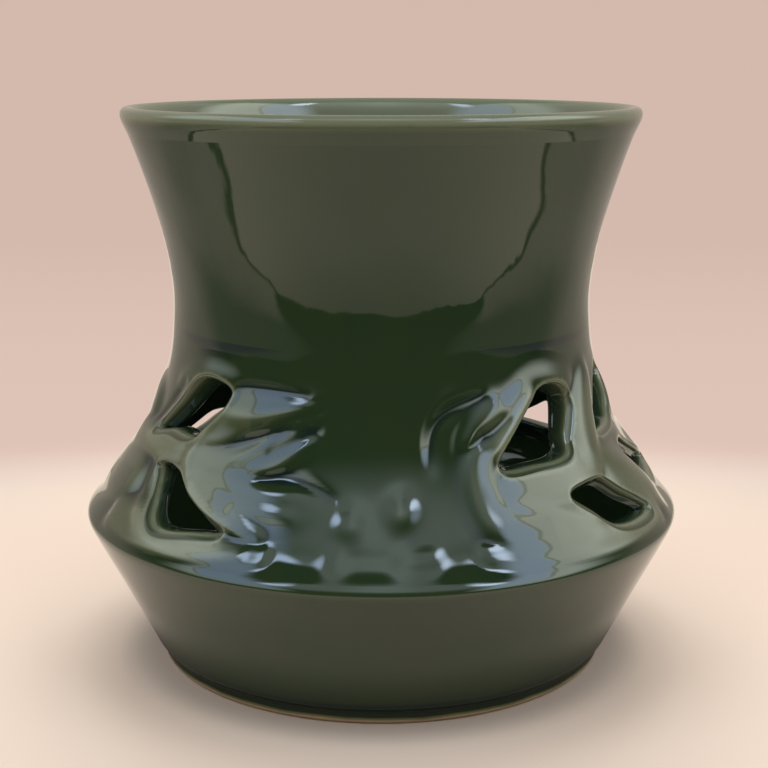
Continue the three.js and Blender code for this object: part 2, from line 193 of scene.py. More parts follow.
@dataclass(frozen=True)
class Ridge:
    """A raised vein, lobe or branch, or with a negative rise a valley.

    The path is angle and height. Half widths and rises hold at its start, middle and end.
    """

    STEPS: ClassVar[int] = 44
    # The brush's width as a share of the half width, its least half width, and its reach
    BRUSH_SHARE: ClassVar[float] = 0.55
    LEAST_WIDTH: ClassVar[float] = 0.8
    REACH_SHARE: ClassVar[float] = 1.5
    # How hard a broad stroke's top is levelled
    LEVELLING: ClassVar[float] = 3.0

    path: tuple[tuple[float, float], ...]
    half_widths: tuple[float, float, float]
    rises: tuple[float, float, float]
    section: Section = Section.ROUND

    def height(self, angle: Array, height: Array) -> Array:
        """Work out the stroke's rise at points of the belt.

        A soft brush is drawn along the path: the sum over its steps of the rise times a bell
        curve of the distance, each weighted by its length over its width, so that a straight
        stroke is a bell across. A broad stroke's bell is levelled at the top by one less the
        exponential of minus three bells.

        Args:
            angle: Angles of the points.
            height: Heights of the points.

        Returns:
            The rise at each point, which fades to nothing beyond the half width.
        """
        line = smooth_path(self.path, self.STEPS)
        middle = 0.5 * (line[1:] + line[:-1])
        length = np.linalg.norm(np.diff(line, axis=0), axis=1)
        way = (np.arange(len(length)) + 0.5) / len(length)
        width = self.BRUSH_SHARE * np.maximum(three_way(self.half_widths, way), self.LEAST_WIDTH)
        rise = three_way(self.rises, way)
        x, y = beside(angle, line) * CHART, height
        near = within(x, y, line, self.REACH_SHARE * max(self.half_widths))
        result = np.zeros_like(x)
        squared = (x[near, None] - middle[:, 0]) ** 2 + (y[near, None] - middle[:, 1]) ** 2
        brush = np.exp(-squared / width**2) * (length / (width * math.sqrt(math.pi)))
        drawn = brush @ rise
        if self.section is Section.BROAD:
            total = brush.sum(axis=1)
            drawn = drawn / np.maximum(total, 1e-6) * (1.0 - np.exp(-self.LEVELLING * total))
        result[near] = drawn
        return result


@dataclass(frozen=True)
class Piercing:
    """A slanted opening through the belt, given by its outline as angle and height."""

    # Points between two places of the outline, and how far round it points are looked at
    STEPS: ClassVar[int] = 14
    MARGIN: ClassVar[float] = 12.0

    outline: tuple[tuple[float, float], ...]

    def loop(self) -> Array:
        """Close a smooth loop of chart points through the outline.

        Each span is the cubic through its ends whose slopes there are half the way between the
        neighbours.

        Returns:
            The points in millimetres, without a repeat of the first.
        """
        points = np.array(self.outline, float) * (CHART, 1.0)
        count = len(points)
        at = np.linspace(0.0, count, self.STEPS * count, endpoint=False)
        index = at.astype(int)
        t = (at - index)[:, None]
        p0, p1, p2, p3 = (points[(index + shift) % count] for shift in (-1, 0, 1, 2))
        slope = 0.5 * (p2 - p0)
        bend = p0 - 2.5 * p1 + 2.0 * p2 - 0.5 * p3
        twist = 1.5 * (p1 - p2) + 0.5 * (p3 - p0)
        return p1 + slope * t + bend * t**2 + twist * t**3

    def nearest(self, angle: Array, height: Array) -> tuple[Array, Array, Array]:
        """Find the nearest point of the outline from points of the belt.

        Args:
            angle: Angles of the points.
            height: Heights of the points.

        Returns:
            The signed distance, negative inside the opening and large beyond the margin; the
            outline's nearest chart point, in the turn of the belt that the point lies in; and
            the unit direction away from the opening.
        """
        loop = self.loop()
        turned = beside(angle, loop)
        x, y = turned * CHART, height
        distance = np.full(x.shape, FAR)
        found = np.stack([x, y], axis=1)
        away = np.tile((0.0, 1.0), (len(x), 1))
        near = within(x, y, loop, self.MARGIN)
        if len(near):
            point = found[near][:, None, :]
            following = np.roll(loop, -1, axis=0)
            along = following - loop
            share = np.clip(((point - loop) * along).sum(-1) / (along**2).sum(-1), 0.0, 1.0)
            spot = loop + share[..., None] * along
            gap = np.linalg.norm(point - spot, axis=-1)
            best = gap.argmin(axis=1)
            rows = np.arange(len(best))
            spot, gap = spot[rows, best], gap[rows, best]
            px, py = point[..., 0], point[..., 1]
            spans = (loop[:, 1] > py) != (following[:, 1] > py)
            rise = np.where(along[:, 1] == 0.0, 1e-9, along[:, 1])
            crossing = loop[:, 0] + (py - loop[:, 1]) * along[:, 0] / rise
            inside = (spans & (px < crossing)).sum(axis=1) % 2 == 1
            sign = np.where(inside, -1.0, 1.0)
            distance[near] = gap * sign
            offset = (point[:, 0] - spot) * sign[:, None]
            away[near] = offset / np.maximum(np.linalg.norm(offset, axis=1), 1e-9)[:, None]
            found[near] = spot
        found[:, 0] += (angle - turned) * CHART
        return distance, found, away


# Broad soft forms: blades of the leaves, stalks and branches
BLADES = (
    Ridge(((-45, 84), (-33, 90.4), (-17, 96)), (10.0, 8.6, 4.4), (1.9, 1.7, 0.7), Section.BROAD),
    Ridge(((-46, 79), (-32, 79.6), (-17, 86)), (10.0, 9.0, 5.0), (2.0, 1.7, 0.7), Section.BROAD),
    Ridge(((-46, 76), (-30, 71.4), (-14, 69)), (9.0, 8.4, 7.0), (2.1, 1.7, 0.5), Section.BROAD),
    Ridge(((-43, 72), (-32, 66), (-23, 61.4)), (6.0, 5.4, 4.0), (2.2, 1.8, 0.4), Section.BROAD),
    Ridge(((-82, 76.6), (-62, 77.4), (-46, 78)), (8.0, 5.6, 7.0), (2.4, 2.3, 2.3), Section.BROAD),
    Ridge(((-88, 66), (-74, 66.4), (-63, 67)), (14.0, 13.0, 8.4), (2.2, 2.5, 2.5), Section.BROAD),
    Ridge(((-64, 57.6), (-46, 56.4), (-33, 56.6), (-21, 57)),
          (7.4, 6.4, 3.4), (2.2, 2.0, 0.8), Section.BROAD),
    Ridge(((-96, 86), (-86, 87), (-76, 85.4)), (9.0, 10.0, 7.0), (1.4, 1.8, 1.6), Section.BROAD),
    Ridge(((-63, 96), (-55, 100.4), (-47, 102), (-37, 101.4)), (5.0, 7.4, 6.4), (0.3, 1.25, 0.5)),
    Ridge(((25, 84), (29, 89.6), (39, 98)), (6.0, 7.4, 7.0), (1.6, 1.9, 1.6), Section.BROAD),
    Ridge(((24, 84.6), (21, 77), (21.6, 69), (25, 63.4), (36, 60)),
          (6.0, 7.4, 6.0), (1.5, 2.0, 1.5), Section.BROAD),
    Ridge(((23, 72.6), (38, 72.4), (55, 76)), (7.0, 8.0, 9.0), (1.5, 1.9, 2.6), Section.BROAD),
    Ridge(((24, 67), (33, 64.6), (46, 61)), (6.6, 7.6, 7.4), (1.4, 1.7, 2.1), Section.BROAD),
    Ridge(((18.6, 58), (30, 57.2), (48, 56.4), (68, 57)), (3.6, 6.4, 6.4), (0.8, 2.0, 2.0), Section.BROAD),
    Ridge(((34, 99.6), (43, 101.4), (56, 99)), (5.0, 7.4, 6.0), (0.3, 1.25, 0.8)),
    Ridge(((53, 76), (57.6, 87), (65, 99)), (10.0, 9.0, 6.4), (2.6, 2.6, 1.2), Section.BROAD),
    Ridge(((57, 74), (67, 66), (74, 58)), (10.0, 11.0, 9.0), (2.6, 2.6, 2.2), Section.BROAD),
)

# Low crests on them, and with negative rises the hollows between
VEINS = (
    Ridge(((-39, 92), (-31, 92), (-23, 94.4), (-15, 96.8)), (4.6, 4.4, 2.0), (0.2, 0.6, 0.3)),
    Ridge(((-33, 88), (-26, 88.8), (-19.6, 90.8), (-13, 94)), (3.6, 3.4, 1.6), (0.1, 0.4, 0.3)),
    Ridge(((-40, 78.6), (-34.6, 79), (-29.6, 82.4), (-24.6, 88)), (4.6, 4.4, 2.8), (0.2, 0.6, 0.3)),
    Ridge(((-30, 77.8), (-25, 79), (-20, 82.6), (-15, 87)), (3.4, 4.2, 2.8), (0.2, 0.7, 0.3)),
    Ridge(((-37, 73), (-28, 72.8), (-18, 71.4)), (4.0, 3.8, 3.0), (0.1, 0.4, 0.1)),
    Ridge(((-30.6, 68), (-24, 67.8), (-17, 67)), (4.0, 4.2, 3.0), (0.3, 0.45, 0.1)),
    Ridge(((-31, 67), (-26.4, 64), (-22.6, 61.4)), (3.6, 3.6, 2.8), (0.3, 0.4, 0.2)),
    Ridge(((-47, 78), (-45.4, 83), (-41.6, 90.5), (-37, 97.4)), (4.0, 3.6, 2.6), (0.3, 0.6, 0.3)),
    Ridge(((-47, 78), (-44.6, 72), (-38, 66.8), (-31, 63.6), (-24.6, 60.4)),
          (4.0, 3.2, 2.0), (0.3, 0.7, 0.1)),
    Ridge(((-7.6, 66.2), (-6.3, 66.2), (-5, 66.2)), (7.6, 7.6, 7.6), (2.1, 2.1, 2.1)),
    Ridge(((-10, 57.2), (-8.5, 57.3), (-7, 57.4)), (5.8, 5.8, 5.8), (0.9, 0.9, 0.9)),
    Ridge(((3, 67), (4.1, 69.1), (5.2, 71.2)), (8.4, 8.4, 8.4), (2.6, 2.6, 2.6)),
    Ridge(((3, 57.4), (7, 57.7), (10.5, 58)), (5.8, 5.8, 5.8), (1.0, 1.0, 1.0)),
    Ridge(((18.8, 84.6), (22.6, 90.6), (29, 97)), (2.8, 5.0, 4.6), (0.5, 1.3, 0.8)),
    Ridge(((25, 81), (29, 86.8), (38.4, 98)), (3.0, 3.8, 3.0), (0.3, 0.6, 0.4)),
    Ridge(((25, 68.4), (32, 67), (41.4, 63)), (3.0, 4.4, 3.0), (0.1, 0.4, 0.1)),
    Ridge(((-59, 73), (-57, 65), (-52.6, 58.6), (-46, 55.8), (-36, 55.6), (-25, 57)),
          (3.4, 4.2, 3.0), (0.3, 0.9, 0.3)),
    Ridge(((-70, 82.4), (-63, 91.4), (-57.4, 98)), (2.6, 3.6, 2.6), (-0.3, -0.7, -0.3)),
    Ridge(((-43, 81.4), (-36, 82.8), (-29, 86), (-20.6, 91.2)), (2.4, 4.0, 3.0), (-0.2, -0.7, -0.3)),
    Ridge(((-25.6, 82.4), (-20, 85.8), (-13.8, 90)), (2.4, 3.6, 2.6), (-0.2, -0.5, -0.2)),
    Ridge(((-27, 75.6), (-21, 76.4), (-15, 75), (-9, 71.6)), (2.4, 3.6, 3.0), (-0.2, -0.55, -0.3)),
    Ridge(((-38, 99.8), (-28, 100), (-17, 98.8)), (2.6, 3.0, 2.4), (-0.2, -0.5, -0.3)),
    Ridge(((19, 84), (24.4, 87.4), (31, 92.6)), (2.4, 3.6, 3.0), (-0.2, -0.6, -0.3)),
    Ridge(((26, 98.6), (13.4, 92.4), (11, 79)), (3.4, 5.4, 4.4), (-0.3, -0.8, -0.4)),
)

PIERCINGS = (
    Piercing(((-66.5, 81.2), (-59, 82.6), (-50, 82.9), (-45, 87.5), (-40.2, 94), (-40, 98.4),
              (-46.5, 100.4), (-52.5, 98), (-60, 89.6))),
    Piercing(((-56.8, 72.6), (-51.5, 73.6), (-45, 69.8), (-38, 65), (-31.5, 61), (-38, 59.4),
              (-46.5, 58.4), (-52, 63.4), (-55.6, 70))),
    Piercing(((27, 78), (32, 86.6), (38, 94), (43.5, 98.4), (50, 97.6), (53.2, 93), (49, 84),
              (45.5, 78.3), (36, 77.4))),
    Piercing(((42.2, 68), (46.5, 69.6), (53, 69.2), (58, 64), (64.2, 57.8), (58, 56.6),
              (50.5, 58), (46, 63))),
    Piercing(((61.5, 82), (67, 88), (73, 95), (80, 99), (87, 97.4), (89, 92.6), (83, 85.8),
              (77, 81.4), (69, 80.4))),
    Piercing(((72, 72.6), (78, 73.6), (84, 70), (91, 65), (96.6, 60.8), (91, 58.8), (82, 58.8),
              (77, 63.6), (73.5, 69))),
)


def nearest_piercing(angle: Array, height: Array) -> tuple[Array, Array, Array]:
    """Find the nearest piercing of all from points of the belt.

    Args:
        angle: Angles of the points.
        height: Heights of the points.

    Returns:
        The signed distance, the outline's nearest chart point and the direction away.
    """
    found = zip(*(hole.nearest(angle, height) for hole in PIERCINGS))
    distance, spot, away = (np.stack(parts) for parts in found)
    best, rows = distance.argmin(axis=0), np.arange(len(angle))
    return distance[best, rows], spot[best, rows], away[best, rows]


@dataclass(frozen=True)
class VaseForm:
    """The vase's outer and inner form, from which every section takes its surface."""

    foot_height: float = 5.0
    belt_base: float = 52.0
    belt_top: float = 112.0
    neck_top: float = 172.0
    floor_top: float = 11.5
    cone_start: float = 6.6
    cone_radius: float = 77.0
    cone_slope: float = 0.515
    notch_blend: float = 6.0
    keel_rounding: float = 2.0
    # Where the relief starts, and how far inside the belt's joints it has faded
    relief_base: float = 48.0
    base_fade: float = 1.5
    top_fade: Span = (6.0, 0.5)
    # The blades' rises are joined by the root of the sum of this power
    melting: float = 3.0
    edge_rounding: float = 1.8
    edge_depth: float = 2.4
    edge_taper: float = 2.6
    wall: float = 9.0
    rim_rise: float = 0.2
    rim_width: float = 3.4
    # Waves round the vase, rise, radians of twist a millimetre up, and phase
    waves: tuple[tuple[int, float, float, float], ...] = (
        (2, 0.16, 0.021, 0.6), (3, 0.10, -0.043, 2.0), (7, 0.05, 0.071, 4.1),
        (13, 0.022, -0.16, 1.2), (19, 0.016, 0.24, 0.4),
    )
    waves_start: Span = (4.0, 30.0)
    # Height and radius of the notch over the foot, of the wall above the keel, and of the inside
    foot: SmoothCurve = SmoothCurve(
        ((0.0, 74.1), (1.6, 74.4), (3.4, 74.5), (4.4, 74.8), (5.4, 75.9), (6.6, 77.0), (9.0, 78.3),
         (14.0, 80.97), (20.0, 84.18))
    )
    shoulder: SmoothCurve = SmoothCurve(
        ((44, 105.6), (48, 101.3), (52, 97.0), (54, 94.85), (56, 92.85), (58, 91.2), (60, 89.8),
         (66, 85.3), (72, 81.1), (80, 76.5), (88, 73.1), (96, 70.8), (104, 69.2), (112, 68.35),
         (118, 68.1), (126, 68.6), (136, 70.1), (146, 72.45), (156, 75.4), (166, 78.7),
         (172, 80.9), (178, 83.3))
    )
    hollow: SmoothCurve = SmoothCurve(
        ((12, 71.5), (20, 76.8), (30, 82.0), (40, 86.2), (48, 88.8), (54, 88.0), (60, 83.9),
         (68, 77.4), (76, 71.4), (84, 67.0), (92, 63.7), (100, 61.4), (108, 60.3), (116, 60.6),
         (126, 62.2), (136, 64.3), (146, 66.9), (156, 69.8), (166, 73.1), (172, 75.3), (178, 77.6))
    )

    def ground(self, height: Array) -> Array:
        """Give the outer radius without leaves.

        The cone and the shoulder meet in a rounded keel: their smooth minimum. Below the cone a
        spline draws the notch over the foot.

        Args:
            height: Heights of the points.

        Returns:
            The radius at each height.
        """
        cone = self.cone_radius + self.cone_slope * (height - self.cone_start)
        body = smooth_min(cone, self.shoulder(height), self.keel_rounding)
        share = smoothstep(height, self.cone_start, self.cone_start + self.notch_blend)
        return self.foot(np.minimum(height, self.foot.knots[-1][0])) * (1.0 - share) + body * share

    def unevenness(self, angle: Array, height: Array) -> Array:
        """Give the slight waves that a hand-finished wall keeps.

        Args:
            angle: Angles of the points.
            height: Heights of the points.

        Returns:
            A sum of sines of the angle and the height, each a whole number of waves round, which
            fades out towards the foot.
        """
        turn = np.radians(angle)
        total = sum(rise * np.sin(count * turn + twist * height + phase)
                    for count, rise, twist, phase in self.waves)
        return total * smoothstep(height, *self.waves_start)

    def leaves(self, angle: Array, height: Array) -> Array:
        """Give the rise of the leaves over the ground.

        The broad forms join by the root of their summed powers, so that they melt into each
        other. The veins are added, hollows among them, and a soft rim round each piercing.

        Args:
            angle: Angles of the points.
            height: Heights of the points.

        Returns:
            The rise at each point, faded out at the belt's two joints.
        """
        blades = sum(blade.height(angle, height) ** self.melting for blade in BLADES)
        rise = sum((vein.height(angle, height) for vein in VEINS), blades ** (1.0 / self.melting))
        rim = self.rim_rise * bell(nearest_piercing(angle, height)[0], 0.0, self.rim_width)
        fade = smoothstep(height, self.relief_base, self.belt_base + self.base_fade)
        start, end = (self.belt_top - before for before in self.top_fade)
        return (rise + rim) * fade * (1.0 - smoothstep(height, start, end))

    def radius(self, angle: Array, height: Array) -> Array:
        """Give the outer radius, leaves and unevenness included."""
        base = self.ground(height) + self.unevenness(angle, height)
        belt = (height > self.relief_base) & (height < self.belt_top)
        if belt.any():
            base[belt] += self.leaves(angle[belt], height[belt])
        return base

    def inner_slope(self, height: Array) -> Array:
        """Give how the inside wall's radius changes for a millimetre up."""
        return (self.hollow(height + PROBE) - self.hollow(height - PROBE)) / (2.0 * PROBE)

    def slopes(self, angle: Array, height: Array) -> tuple[Array, Array, Array]:
        """Give the outer radius and how it changes.

        Args:
            angle: Angles of the points.
            height: Heights of the points.

        Returns:
            The radius, its change for a radian round the vase, and its change for a millimetre
            up, both by central differences.
        """
        turn = PROBE / CHART
        round_change = self.radius(angle + turn, height) - self.radius(angle - turn, height)
        up_change = self.radius(angle, height + PROBE) - self.radius(angle, height - PROBE)
        radius = self.radius(angle, height)
        return radius, round_change / (2.0 * math.radians(turn)), up_change / (2.0 * PROBE)


def outwards(angle: Array) -> Array:
    """Give the unit vector away from the vase's axis at each angle."""
    turn = np.radians(angle)
    return np.stack([np.sin(turn), -np.cos(turn), np.zeros_like(turn)], axis=-1)


def sideways(angle: Array) -> Array:
    """Give the unit vector round the vase, towards growing angles."""
    turn = np.radians(angle)
    return np.stack([np.cos(turn), np.sin(turn), np.zeros_like(turn)], axis=-1)


def unit(vectors: Array) -> Array:
    """Scale vectors to length 1."""
    return vectors / np.maximum(np.linalg.norm(vectors, axis=-1, keepdims=True), 1e-12)


def place(angle: Array, radius: Array, height: Array) -> Array:
    """Turn angle, radius and height into points, in millimetres."""
    return outwards(angle) * radius[..., None] + UP * height[..., None]


@dataclass
class Surface:
    """Points, faces, normals and glaze values that make up one mesh."""

    points: list[Array] = field(default_factory=list)
    normals: list[Array] = field(default_factory=list)
    thin: list[Array] = field(default_factory=list)
    pool: list[Array] = field(default_factory=list)
    quads: list[Array] = field(default_factory=list)
    flat_quads: list[tuple[Array, Array]] = field(default_factory=list)
    count: int = 0

    def add(self, points: Array, normals: Array, thin: Array, pool: Array) -> int:
        """Add points with their normals and glaze values.

        Args:
            points: Places in millimetres.
            normals: A unit normal for each.
            thin: How thin the glaze lies on each, from 0 to 1.
            pool: How deep it has pooled, from 0 to 1.

        Returns:
            The number of the first point added.
        """
        first = self.count
        self.points.append(points.reshape(-1, 3))
        self.normals.append(normals.reshape(-1, 3))
        self.thin.append(np.broadcast_to(thin, points.shape[:-1]).reshape(-1))
        self.pool.append(np.broadcast_to(pool, points.shape[:-1]).reshape(-1))
        self.count += self.points[-1].shape[0]
        return first

    def mesh_object(self, name: str) -> bpy.types.Object:
        """Make a Blender object of the surface, with its own normals.

        Args:
            name: The object's name.

        Returns:
            The object, linked to the scene, with its place in its mesh.
        """
        points = np.concatenate(self.points) * MM
        normals = np.concatenate(self.normals)
        quads = np.concatenate(self.quads + [faces for faces, _ in self.flat_quads])
        corners = quads.ravel().astype(np.int32)
        corner_normals = normals[corners]
        corner = 4 * sum(len(faces) for faces in self.quads)
        for faces, normal in self.flat_quads:
            corner_normals[corner:corner + 4 * len(faces)] = normal
            corner += 4 * len(faces)
        mesh = bpy.data.meshes.new(name)
        mesh.vertices.add(len(points))
        mesh.vertices.foreach_set("co", points.astype(np.float32).ravel())
        mesh.loops.add(len(corners))
        mesh.loops.foreach_set("vertex_index", corners)
        mesh.polygons.add(len(quads))
        mesh.polygons.foreach_set("loop_start", np.arange(0, len(corners), 4, dtype=np.int32))
        for key, values in (("glaze_thin", self.thin), ("glaze_pool", self.pool)):
            layer = mesh.attributes.new(key, "FLOAT", "POINT")
            layer.data.foreach_set("value", np.concatenate(values).astype(np.float32))
        mesh.update(calc_edges=True)
        mesh.polygons.foreach_set("use_smooth", np.ones(len(quads), bool))
        mesh.normals_split_custom_set(unit(corner_normals).tolist())
        piece = bpy.data.objects.new(name, mesh)
        bpy.context.scene.collection.objects.link(piece)
        return piece


def ring_quads(first: int, rows: int, columns: int) -> Array:
    """Number the quads of a grid that closes round the vase.

    Args:
        first: The number of the grid's first point.
        rows: How many rings the grid has, from the bottom up when seen from outside.
        columns: How many points each ring has.

    Returns:
        Four point numbers for each quad, anticlockwise seen from outside.
    """
    row, column = np.meshgrid(np.arange(rows - 1), np.arange(columns), indexing="ij")
    after = (column + 1) % columns
    quads = np.stack([row * columns + column, row * columns + after,
                      (row + 1) * columns + after, (row + 1) * columns + column], axis=-1)
    return first + quads.reshape(-1, 4)


@dataclass
class TurnedSection:
    """A section turned on the wheel: rows of rings that run along its own outline."""

    form: VaseForm
    name: str = "section"
    nodes: tuple[str, ...] = ()
    slot: str = "green_glaze"

    def rings(self) -> Array:
        """Give the outline as rows of radius, height and how much of the outer unevenness each takes."""
        raise NotImplementedError

    def glaze(self, radius: Array, height: Array) -> tuple[Array, Array]:
        """Give how thin and how pooled the glaze is along the outline."""
        return np.zeros_like(radius), np.zeros_like(radius)

    def flat_rows(self) -> dict[int, Array]:
        """Give the spans between rings that are flat joints, each with its normal."""
        return {}

    def surface(self) -> Surface:
        """Turn the outline about the axis.

        Each ring is a circle whose radius takes the outer form's relief. Its normal is square to
        the outline's slope, by central differences along the outline and round the ring.

        Returns:
            The surface, closed on itself.
        """
        outline = self.rings()
        angle = np.arange(COLUMNS) * 360.0 / COLUMNS
        turns, radii = np.meshgrid(angle, outline[:, 0])
        heights = np.broadcast_to(outline[:, 1:2], radii.shape)
        outer = self.form.radius(turns.ravel(), heights.ravel()).reshape(radii.shape)
        radii = radii + (outer - self.form.ground(heights)) * outline[:, 2:3]
        before, after = np.roll(radii, 1, axis=0), np.roll(radii, -1, axis=0)
        low, high = np.roll(heights, 1, axis=0), np.roll(heights, -1, axis=0)
        joints = self.flat_rows()
        rows = len(outline)
        for row in joints:
            following = (row + 1) % rows
            after[row], high[row] = radii[row], heights[row]
            before[following], low[following] = radii[following], heights[following]
        run, climb = after - before, high - low
        step = math.radians(360.0 / COLUMNS)
        skew = (np.roll(radii, -1, axis=1) - np.roll(radii, 1, axis=1)) / (2.0 * step)
        normals = outwards(turns) * climb[..., None] - UP * run[..., None]
        normals = normals - sideways(turns) * (climb * skew / np.maximum(radii, 1.0))[..., None]
        thin, pool = self.glaze(outline[:, 0], outline[:, 1])
        surface = Surface()
        surface.add(place(turns, radii, heights), unit(normals), thin[:, None], pool[:, None])
        quads = ring_quads(0, rows + 1, COLUMNS) % (rows * COLUMNS)
        for row, faces in enumerate(quads.reshape(rows, COLUMNS, 4)):
            if row in joints:
                surface.flat_quads.append((faces, joints[row]))
            else:
                surface.quads.append(faces)
        return surface


def rows_of(*parts: Array) -> Array:
    """Join stretches of an outline.

    Args:
        parts: Arrays of radius, height and share of the unevenness.

    Returns:
        One array of rows.
    """
    return np.concatenate([np.atleast_2d(part) for part in parts])


def stretch(radius: Array, height: Array, uneven: float) -> Array:
    """Make one stretch of an outline from its radii and heights."""
    radius, height = np.broadcast_arrays(radius, height)
    return np.stack([radius, height, np.full(radius.shape, uneven)], axis=-1)


@dataclass
class FootRing(TurnedSection):
    """The band that the vase stands on: glazed outside, wiped bare where it stands."""

    name: str = "foot_ring_clay"
    nodes: tuple[str, ...] = ("foot_ring",)
    slot: str = "bare_clay"
    inner_radius: float = 62.5
    inner_lean: float = 0.5
    tread_inner: float = 64.2
    tread_outer: float = 72.6
    rounding: float = 1.5
    tread_rows: int = 5
    edge_rows: int = 7
    band_rows: int = 6

    def rings(self) -> Array:
        """Run along the tread, round the outer edge, up the band and down the inside."""
        form = self.form
        turn = np.linspace(0.0, math.pi / 2, self.edge_rows)
        tread = np.linspace(self.tread_inner, self.tread_outer, self.tread_rows + 1)[:-1]
        run = form.foot(np.array([self.rounding]))[0] - self.tread_outer
        edge = stretch(self.tread_outer + run * np.sin(turn), self.rounding * (1.0 - np.cos(turn)), 1.0)
        height = np.linspace(self.rounding, form.foot_height, self.band_rows + 1)[1:]
        band = stretch(form.ground(height), height, 1.0)
        down = np.linspace(form.foot_height, self.rounding, self.band_rows)
        inside = stretch(self.inner_radius + (1.0 - down / form.foot_height) * self.inner_lean, down, 0.0)
        foot = inside[-1, 0]
        last = stretch(foot + (self.tread_inner - foot) * (1.0 - np.cos(turn[1:-1])),
                       self.rounding * (1.0 - np.sin(turn[1:-1])), 0.0)
        return rows_of(stretch(tread, 0.0, 0.0), edge, band, inside, last)

    def flat_rows(self) -> dict[int, Array]:
        """The joint with the bowl lies between the band's last ring and the inside's first."""
        return {self.tread_rows + self.edge_rows + self.band_rows - 1: UP}


@dataclass
class Bowl(TurnedSection):
    """The floor and the conical wall up to the belt."""

    name: str = "bowl_glazed"
    nodes: tuple[str, ...] = ("bowl",)
    fillet: float = 9.0
    under: tuple[float, ...] = (1.0, 30.0, 55.0, 62.0, 68.0)
    floor: tuple[float, ...] = (50.0, 25.0, 1.0)
    # Heights between which the outside has closer rings, and how many rings each stretch has
    notch_end: float = 14.0
    keel_start: float = 42.0
    outer_rows: tuple[int, int, int] = (21, 19, 17)
    # Height and width of the band where the glaze pools, and of the one where it is thin
    pool_band: Span = (5.6, 2.6)
    thin_band: Span = (49.5, 2.4)
    thin_share: float = 0.18

    def rings(self) -> Array:
        """Run out under the floor, up the cone, over the joint, down the inside and in over the floor."""
        form = self.form
        notch, cone, keel = self.outer_rows
        height = np.concatenate([np.linspace(form.foot_height, self.notch_end, notch + 1)[:-1],
                                 np.linspace(self.notch_end, self.keel_start, cone + 1)[:-1],
                                 np.linspace(self.keel_start, form.belt_base, keel)])
        fillet_top = form.floor_top + self.fillet
        down = np.linspace(form.belt_base, fillet_top, 18)
        turn = np.linspace(0.0, math.pi / 2, 9)[1:]
        corner = form.hollow(np.array([fillet_top]))[0]
        fillet = stretch(corner - self.fillet * (1.0 - np.cos(turn)),
                         form.floor_top + self.fillet * (1.0 - np.sin(turn)), 0.0)
        return rows_of(stretch(np.array(self.under), form.foot_height, 0.0),
                       stretch(form.ground(height), height, 1.0),
                       stretch(form.hollow(down), down, 0.0),
                       fillet,
                       stretch(np.array(self.floor), form.floor_top, 0.0))

    def flat_rows(self) -> dict[int, Array]:
        """The underside and the joint with the belt are flat."""
        start = len(self.under)
        return {start - 1: -UP, start + sum(self.outer_rows) - 1: UP}

    def glaze(self, radius: Array, height: Array) -> tuple[Array, Array]:
        """The glaze pools in the notch over the foot and lies thinner on the keel."""
        row = np.arange(len(radius)) - len(self.under)
        outside = (row >= 0) & (row < sum(self.outer_rows))
        thin = self.thin_share * bell(height, *self.thin_band) * outside
        return thin, bell(height, *self.pool_band) * outside


@dataclass
class Neck(TurnedSection):
    """The waisted wall between the belt and the lip."""

    name: str = "neck_glazed"
    nodes: tuple[str, ...] = ("neck",)
    outer_rows: int = 61
    inner_rows: int = 31
    # Heights over which the inside turns paler towards the lip, and how far
    inside_paler_span: Span = (120.0, 172.0)
    thin_share: float = 0.9

    def rings(self) -> Array:
        """Run up the outside and down the inside."""
        form = self.form
        up = np.linspace(form.belt_top, form.neck_top, self.outer_rows)
        down = np.linspace(form.neck_top, form.belt_top, self.inner_rows)
        return rows_of(stretch(form.ground(up), up, 1.0), stretch(form.hollow(down), down, 0.0))

    def flat_rows(self) -> dict[int, Array]:
        """The joints with the lip and with the belt are flat."""
        return {self.outer_rows - 1: UP, self.outer_rows + self.inner_rows - 1: -UP}

    def glaze(self, radius: Array, height: Array) -> tuple[Array, Array]:
        """Inside, the thin value rises towards the lip, so the glaze turns paler there."""
        inside = np.arange(len(radius)) >= self.outer_rows
        return smoothstep(height, *self.inside_paler_span) * inside * self.thin_share, np.zeros_like(radius)


@dataclass
class Lip(TurnedSection):
    """The flared rim, rolled over a soft crown."""

    name: str = "lip_glazed"
    nodes: tuple[str, ...] = ("lip",)
    slot: str = "lip_glaze"
    steps: int = 44
    roll: tuple[tuple[float, float], ...] = (
        (80.9, 172.0), (82.15, 174.7), (83.0, 177.2), (82.75, 179.1), (81.3, 180.12), (79.3, 179.72),
        (77.8, 178.0), (76.5, 175.2), (75.3, 172.0),
    )
    # The place of the roll's crown, past which the unevenness fades
    crown: int = 4
    # Shares of the way over the roll where the glaze turns thin, and where it thickens a little
    thinning: Span = (0.12, 0.36)
    thickening: Span = (0.7, 1.0)

    def rings(self) -> Array:
        """Carry a smooth curve through the roll's places, by the length along them."""
        places = np.array(self.roll)
        length = np.concatenate([[0.0], np.cumsum(np.linalg.norm(np.diff(places, axis=0), axis=1))])
        at = np.linspace(0.0, length[-1], self.steps)
        radius, height = (SmoothCurve(tuple(zip(length, values)))(at) for values in places.T)
        return stretch(radius, height, 1.0 - smoothstep(at, length[self.crown], length[-1]))

    def flat_rows(self) -> dict[int, Array]:
        """The joint with the neck is flat."""
        return {self.steps - 1: -UP}

    def glaze(self, radius: Array, height: Array) -> tuple[Array, Array]:
        """The glaze runs off the lip, so it is thin and pale there."""
        along = np.arange(len(radius)) / (len(radius) - 1.0)
        thin = smoothstep(along, *self.thinning) * (1.0 - 0.1 * smoothstep(along, *self.thickening))
        return thin, np.zeros_like(radius)


